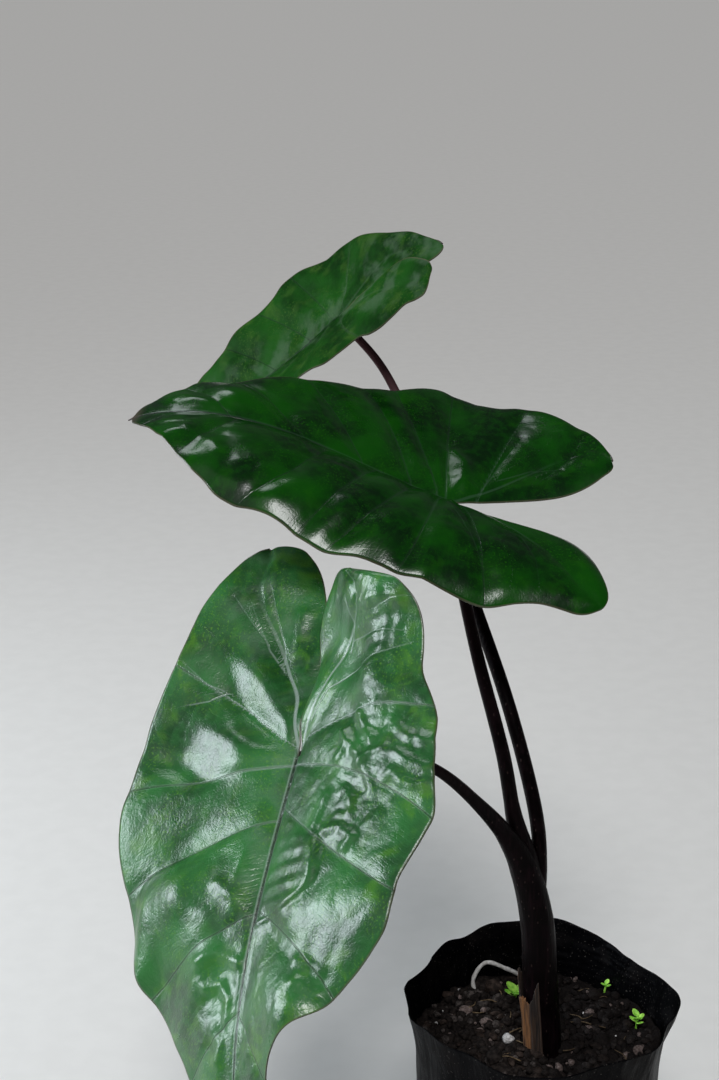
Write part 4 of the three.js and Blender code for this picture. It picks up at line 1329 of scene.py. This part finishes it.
def chunk_places():
    """The large lumps of the solid model: place and size of each, in millimetres. The solid model
    draws more numbers for the shape of a lump, and these are passed over."""
    random = seeded(20)
    keep_clear = [(*STEM_AXIS[1][:2], STEM_CLEAR)]
    keep_clear += [(*seedling["foot"], 6) for seedling in SEEDLINGS]
    keep_clear += [(*ROOT_LOOP[0][:2], 6), (*ROOT_LOOP[-1][:2], 6)]
    places = []
    while len(places) < CHUNKS["count"]:
        angle = 2 * math.pi * next(random)
        radius = CHUNKS["within"] * math.sqrt(next(random))
        x, y = radius * math.cos(angle), radius * math.sin(angle)
        if all(math.hypot(x - cx, y - cy) > room for cx, cy, room in keep_clear):
            places.append((x, y, lerp(CHUNKS["smallest"], CHUNKS["largest"], next(random))))
            for _ in range(NUMBERS_OF_A_SHAPE):
                next(random)
    return places


print(f"large lumps: {len(chunk_places())}")

# %% [markdown]
# A small lump starts as a ball. Noise pushes its points in and out, then it is squashed and turned,
# so that no two are alike. The random numbers come from a seeded stream, as everything here does
# that looks random.

# %% Lumps
def ball():
    """The points and faces of a ball of 80 faces, of radius 1."""
    made = bmesh.new()
    bmesh.ops.create_icosphere(made, subdivisions=2, radius=1)
    points = np.array([point.co[:] for point in made.verts])
    faces = np.array([[corner.index for corner in face.verts] for face in made.faces])
    made.free()
    return points, faces


BALL_POINTS, BALL_FACES = ball()
print(f"ball: {len(BALL_POINTS)} points, {len(BALL_FACES)} faces")


def lump(place, size, random, flatness=0.75):
    """A rough lump of the given half sizes, turned at random."""
    offset = random.uniform(0, 50, 3)
    broad = noise_at(*(BALL_POINTS * 1.3 + offset).T)
    fine = noise_at(*(BALL_POINTS * 3 + offset).T)
    swell = 1 + 0.35 * broad + 0.2 * fine
    points = BALL_POINTS * swell[:, None] * size * np.array([1, random.uniform(0.55, 0.9), flatness])
    turn, tip = random.uniform(0, 2 * np.pi), random.uniform(-0.5, 0.5)
    about_z = np.array([[np.cos(turn), -np.sin(turn), 0], [np.sin(turn), np.cos(turn), 0], [0, 0, 1]])
    about_x = np.array([[1, 0, 0], [0, np.cos(tip), -np.sin(tip)], [0, np.sin(tip), np.cos(tip)]])
    return points @ (about_z @ about_x).T + place


def scattered(random, count, smallest, largest, within=54.5):
    """Places all over the soil, with a size each."""
    for _ in range(count):
        angle = random.uniform(0, 2 * np.pi)
        radius = within * math.sqrt(random.uniform(0, 1))
        size = lerp(smallest, largest, random.uniform(0, 1) ** 2)
        yield radius * math.cos(angle), radius * math.sin(angle), size


# %% [markdown]
# The bed is one closed body, so that the soil isn't hollow. Rings go up inside the film and then in
# to the middle of the surface, where two sizes of noise roughen it.

# %% Soil bed
BED_HEIGHTS = (3, 14, 40, 68, 90, 102, 108)
BED_DIVISIONS = 180


def inside_film(angle, z):
    """The radius of the soil at a height, just inside the film."""
    return bag_radius(angle, z) - BAG["film"] - SOIL_GAP


def soil_bed():
    """A closed body that fills the bag up to an uneven surface."""
    angle = np.linspace(0, 2 * np.pi, BED_DIVISIONS, endpoint=False)
    rings = []
    for height in BED_HEIGHTS:
        z = np.full_like(angle, height)
        radius = inside_film(angle, z)
        rings.append(np.stack([radius * np.cos(angle), radius * np.sin(angle), z], 1))
    edge = inside_film(angle, np.full_like(angle, SOIL_LEVEL))
    for share in np.linspace(1, 0.02, 64):
        x, y = share * edge * np.cos(angle), share * edge * np.sin(angle)
        rough = 1.5 * noise_at(x / 5, y / 5, 3.0) + 0.9 * noise_at(x / 2, y / 2, 5.0)
        rings.append(np.stack([x, y, soil_height(x, y) + rough - 0.4], 1))
    points = np.concatenate([*rings, [(0, 0, BED_HEIGHTS[0])], [(0, 0, soil_height(0, 0))]])
    faces = grid_faces(len(rings), len(angle), closed=True).tolist()
    bottom, top = len(points) - 2, len(points) - 1
    last = (len(rings) - 1) * len(angle)
    for k in range(len(angle)):
        after = (k + 1) % len(angle)
        faces.append([after, k, bottom])
        faces.append([last + k, last + after, top])
    return points, faces


# %% [markdown]
# The mix is strewn in the order of the table: the large lumps first, then the grains that stand
# out on the real plant, then crumbs, bark, dry crumbs and grit at random. A few straw fibres lie on
# top, as thin swept tubes that sag a little.

# %% Soil mesh
# Grains that stand out: their place, their size and their finish
SEEN_GRAINS = [
    (-33.5, 20.2, 4.0, PINK), (-23.5, 8.4, 3.6, PINK), (-14.3, -4.9, 3.2, PALE), (0, -18, 2.0, PINK),
    (27, 17.5, 2.9, PINK), (47, -13.5, 3.0, PINK), (8, -27, 2.8, PINK), (40, -22, 2.4, PINK),
    (3, -29, 2.0, PINK), (14, -24, 1.8, PINK), (-36, 27, 2.4, DRY), (-30, 33, 2.6, DRY),
    (-18, 30, 2.8, DRY), (-24, 22, 2.4, DRY), (34, 12, 2.6, DRY), (20, 8, 2.8, DRY),
]
ROUNDISH = 0.8
FLAKE = 0.35
# What is strewn: finish, flatness, count, smallest and largest size
STREWN = [
    (CRUMB, ROUNDISH, 620, 0.9, 3.0), (BARK, FLAKE, 150, 1.4, 4.2), (DRY, ROUNDISH, 260, 0.8, 2.6),
    (PINK, ROUNDISH, 60, 0.7, 2.3), (PALE, ROUNDISH, 26, 0.5, 1.2),
]
FIBRES = 26


def add_soil():
    random = np.random.default_rng(7)
    points, faces = soil_bed()
    finishes = [CRUMB] * len(faces)
    clouds = [points]
    count = len(points)
    lumps = []
    for k, chunk in enumerate(chunk_places()):
        lumps.append((*chunk, CRUMB if k % 3 else BARK, ROUNDISH))
    lumps += [(*grain, ROUNDISH) for grain in SEEN_GRAINS]
    for finish, flatness, number, smallest, largest in STREWN:
        lumps += [(*spot, finish, flatness) for spot in scattered(random, number, smallest, largest)]
    for x, y, size, finish, flatness in lumps:
        place = (x, y, soil_height(x, y) + size * 0.25)
        clouds.append(lump(place, size, random, flatness))
        faces += (BALL_FACES + count).tolist()
        finishes += [finish] * len(BALL_FACES)
        count += len(BALL_POINTS)
    for _ in range(FIBRES):
        x, y, length = next(scattered(random, 1, 6, 13, within=46))
        turn = random.uniform(0, np.pi)
        half = length / 2 * np.array([math.cos(turn), math.sin(turn), random.uniform(-0.2, 0.2)])
        middle = np.array([x, y, soil_height(x, y) + 1.6])
        sag = np.array([random.uniform(-1.5, 1.5), random.uniform(-1.5, 1.5), random.uniform(0, 1)])
        path = curve_through([middle - half, middle + sag, middle + half], 12)
        tube, tube_faces, _ = swept_tube(path, lambda share, angles: 0.35 - 0.15 * share, 6, count)
        clouds.append(tube)
        faces += tube_faces
        finishes += [STRAW] * len(tube_faces)
        count += len(tube)
    add_piece("potting_mix", np.concatenate(clouds) * MM, faces, SOIL_FINISHES, ["soil"],
              finish_of_face=finishes)
    print(f"soil: {len(lumps)} lumps and {FIBRES} fibres on the bed")


add_soil()

# %% [markdown]
# ## The stem's foot
# An older leaf has died away, and the dried remains of its sheath cling to the left of the stem as
# torn brown strips. They are a sheet that is bent round the stem, with a ragged upper edge and long
# fibres in its relief and its colour.

# %% Dry sheath
DRY_SHEATH = dict(radius=8.9, thickness=0.5, bottom=105, top=145, first=130, last=262)


def fibre_finish():
    material, shader, start = new_material("dried sheath")
    fibres = start.noise(start.object_place((1, 1, 0.04)), 900, detail=4)
    bands = start.noise(start.object_place((1, 1, 0.3)), 160, detail=3)
    around = start.attribute("around")
    dark = fibres.step(0.35, 0.7).mix(colour(0.010, 0.006, 0.005), colour(0.045, 0.024, 0.014))
    warm = fibres.step(0.30, 0.65).mix(colour(0.045, 0.020, 0.009), colour(0.22, 0.095, 0.032))
    base = (around.step(0.42, 0.50) * (1 - around.step(0.72, 0.80))).mix(dark, warm)
    base = (bands.step(0.5, 0.7) * 0.5).mix(base, colour(0.014, 0.009, 0.007))
    start.feed(shader, {
        "Base Color": base,
        "Roughness": 0.75 + bands * 0.15,
        "Normal": start.bump(fibres, 0.0008),
    })
    return material


def add_dry_sheath():
    rows, columns = 60, 90
    share, around = np.meshgrid(np.linspace(0, 1, rows), np.linspace(0, 1, columns), indexing="ij")
    angle = np.radians(lerp(DRY_SHEATH["first"], DRY_SHEATH["last"], around))
    torn = np.abs(noise_at(angle * 14, angle * 0))
    ragged = 5 * np.sin(angle * 3) + 3 * np.sin(angle * 7 + 1) - 3.5 * torn
    z = lerp(DRY_SHEATH["bottom"], DRY_SHEATH["top"] + ragged, share)
    axis = curve_through(STEM_AXIS, 80)
    x = np.interp(z, axis[:, 2], axis[:, 0])
    y = np.interp(z, axis[:, 2], axis[:, 1])
    ribs = 0.5 * np.sin(angle * 5) ** 2 + 0.18 * np.sin(angle * 46) + 0.25 * noise_at(angle * 6, z / 9)
    frayed = 0.9 * share**4 * np.abs(noise_at(angle * 9, z / 30, 3.0))
    radius = DRY_SHEATH["radius"] + ribs + 0.8 * share + frayed
    points = np.stack([x + radius * np.cos(angle), y + radius * np.sin(angle), z], -1).reshape(-1, 3)
    piece = add_piece("sheath_remains", points * MM, grid_faces(rows, columns), [fibre_finish()],
                      ["dry_sheath"], dict(around=around.reshape(-1)))
    thicken(piece, DRY_SHEATH["thickness"], offset=0)


add_dry_sheath()

# %% [markdown]
# ## Small things in the bag
# A pale young root arches out of the soil, and three weed seedlings have come up. The root is a
# swept tube, as the stalks are, and it is a little knobbly: its radius swells and shrinks along it.

# %% Root
def root_finish():
    material, shader, start = new_material("young root")
    mottle = start.noise(start.object_place(), 500, detail=3)
    start.feed(shader, {
        "Base Color": mottle.step(0.35, 0.7).mix(colour(0.58, 0.56, 0.54), colour(0.85, 0.84, 0.83)),
        "Roughness": 0.5 + mottle * 0.15,
        "Normal": start.bump(mottle, 0.0003),
    })
    return material


def add_root():
    path = curve_through(ROOT_LOOP, 90)

    def radius_at(share, angles):
        return 1.05 + 0.07 * math.sin(share * 31) + 0.04 * math.sin(share * 71)

    points, faces, _ = swept_tube(path, radius_at, 14)
    add_piece("young_root", points * MM, faces, [root_finish()], ["root_loop"])


add_root()

# %% [markdown]
# Each seedling is a thread of a stem with small cupped leaves round it, which one function makes
# from its foot, its height and its number of leaves. Each leaf is turned a little further round the
# stem than the one before. A leaf is rings round its own middle, over its upper face and back under
# it, so that it has two faces and a thickness.

# %% Seedlings
def seedling_finish():
    material, shader, start = new_material("seedling")
    place = start.object_place()
    tone = start.noise(place, 300, detail=3)
    start.feed(shader, {
        "Base Color": tone.step(0.35, 0.65).mix(colour(0.18, 0.50, 0.04), colour(0.42, 0.78, 0.11)),
        "Roughness": 0.4 + tone * 0.15,
        "Normal": start.bump(start.noise(place, 1500, detail=2), 0.0002),
    })
    return material


# Half a section through a small leaf, over its upper face and back under it: share and height
LEAF_SECTION = ((0.02, 0.18), (0.5, 0.22), (0.85, 0.30), (1, 0.25),
                (0.85, 0.0), (0.5, -0.12), (0.02, -0.16))
LEAF_TILT = 0.45
LEAF_TURN = 2.4


def cupped_leaf(length):
    """An egg-shaped leaf, hollow above and about 0.35 mm thick, that points along +X."""
    around = np.linspace(0, 2 * np.pi, 20, endpoint=False)
    layers = []
    for share, height in LEAF_SECTION:
        x = length * 0.5 * (1 + share * np.cos(around))
        y = length * 0.36 * share * np.sin(around) * (1 - 0.2 * np.cos(around))
        cup = 0.10 * length * share**2
        layers.append(np.stack([x, y, np.full_like(x, height + cup)], 1))
    return np.concatenate(layers), grid_faces(len(layers), len(around), closed=True, flip=True)


def add_seedling(seedling, index, material):
    x, y = seedling["foot"]
    ground = soil_height(x, y)
    height = seedling["height"]
    stem = [(x, y, ground - 5), (x, y, ground), (x + 0.6, y - 0.6, ground + height)]
    path = curve_through(stem, 16)
    points, faces, _ = swept_tube(path, lambda share, angles: 0.55 - 0.12 * share, 10)
    clouds, count = [points], len(points)
    for k in range(seedling["leaves"]):
        leaf, leaf_faces = cupped_leaf(seedling["leaf"])
        turn = LEAF_TURN * k + index
        level = leaf[:, 0] * math.cos(LEAF_TILT) - leaf[:, 2] * math.sin(LEAF_TILT)
        up = leaf[:, 0] * math.sin(LEAF_TILT) + leaf[:, 2] * math.cos(LEAF_TILT)
        spun_x = level * math.cos(turn) - leaf[:, 1] * math.sin(turn)
        spun_y = level * math.sin(turn) + leaf[:, 1] * math.cos(turn)
        node = np.array([x + 0.5, y - 0.5, ground + height * (1 - 0.13 * k) - 0.4])
        clouds.append(np.stack([spun_x, spun_y, up], 1) + node)
        faces += (leaf_faces + count).tolist()
        count += len(leaf)
    add_piece(f"weed_{index}", np.concatenate(clouds) * MM, faces, [material],
              [seedling["name"]])


green_weed = seedling_finish()
for index, seedling in enumerate(SEEDLINGS):
    add_seedling(seedling, index, green_weed)

# %% [markdown]
# ## What the soil hides
# The corm and its roots are the solid model's own. Nobody sees them, but they still get a material:
# brown, scaly and matt.

# %% Corm
def corm_finish():
    material, shader, start = new_material("corm")
    scales = start.noise(start.object_place((1, 1, 4)), 160, detail=4)
    start.feed(shader, {
        "Base Color": scales.step(0.35, 0.65).mix(colour(0.07, 0.035, 0.02), colour(0.20, 0.12, 0.07)),
        "Roughness": 0.75 + scales * 0.15,
        "Normal": start.bump(scales, 0.0012),
    })
    return material


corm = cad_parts["corm_and_roots"]
corm.data.materials.clear()
corm.data.materials.append(corm_finish())
print("corm_and_roots: keeps its solid")

# %% [markdown]
# ## Floor and light
# The stage is plain: a pale floor under soft light. A wide sun in front and above lights the floor
# as evenly far away as near by, and a weak soft lamp in front and a faint world fill the shadows.
# The leaves are glossy, so what they mirror matters as much as how bright they are. A bluish window
# at the left draws the broad sheens on the blades, and a smaller one above and behind adds more.

# %% Floor
FLOOR_SIZE = 60


def add_floor():
    half = FLOOR_SIZE / 2
    corners = [(-half, -half, 0), (half, -half, 0), (half, half, 0), (-half, half, 0)]
    mesh = bpy.data.meshes.new("floor")
    mesh.from_pydata(corners, [], [(0, 1, 2, 3)])
    material, shader, start = new_material("floor")
    grain = start.noise(start.object_place(), 60, detail=2)
    start.feed(shader, {
        "Base Color": grain.step(0.3, 0.7).mix(colour(0.77, 0.76, 0.74), colour(0.79, 0.78, 0.76)),
        "Roughness": 0.8,
    })
    mesh.materials.append(material)
    floor = add_object("floor", mesh)
    floor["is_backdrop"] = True
    print(f"floor: {FLOOR_SIZE} m wide")


add_floor()

# %% [markdown]
# Every lamp is made alike: it is given the direction that it shines from, and turned so that it
# faces the plant. The sun has a direction only, because it is very far away.

# %% Lamps
PLANT = (-0.08, -0.02, 0.3)
WORLD_TINT = colour(0.90, 0.94, 1.0)
WORLD_STRENGTH = 0.06


def add_light(name, kind, direction, energy, tint=(1, 1, 1)):
    """A light that shines from the given direction."""
    data = bpy.data.lights.new(name, kind)
    data.energy = energy
    data.color = tint
    lamp = add_object(name, data)
    level = math.hypot(direction[0], direction[1])
    lamp.rotation_euler = (math.atan2(level, direction[2]), 0, math.atan2(direction[0], -direction[1]))
    print(f"{name}: {kind.lower()}, strength {energy}")
    return lamp


def add_window(name, place, width, height, power, tint=(1, 1, 1)):
    """A soft rectangular lamp that faces the plant."""
    lamp = add_light(name, "AREA", np.array(place) - np.array(PLANT), power, tint)
    lamp.location = place
    lamp.data.shape = "RECTANGLE"
    lamp.data.size = width
    lamp.data.size_y = height


def add_world():
    world = bpy.data.worlds.new("world")
    world.use_nodes = True
    background = world.node_tree.nodes["Background"]
    background.inputs["Color"].default_value = WORLD_TINT
    background.inputs["Strength"].default_value = WORLD_STRENGTH
    bpy.context.scene.world = world


add_world()
sun = add_light("overhead", "SUN", (-0.056, -0.640, 0.766), 1.9)
sun.data.angle = math.radians(20)
add_window("window", (-1.34, 0.15, 0.585), 0.62, 0.50, 11, (0.84, 0.93, 1))
add_window("back window", (-0.46, 0.57, 1.28), 0.40, 0.40, 2.3, (0.90, 0.96, 1))
add_window("soft front", (-1.0, -1.3, 1.7), 1.8, 1.8, 4)
bpy.context.scene.view_settings.view_transform = "Standard"

# %% [markdown]
# ## Size
# The finer meshes have to stay where the solids are, so the boxes of both are printed.

# %% Write the sizes and finish
visual_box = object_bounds()
for name, box in (("solids", cad_box), ("dressed", visual_box)):
    print(name, [[round(x, 4) for x in corner] for corner in box])
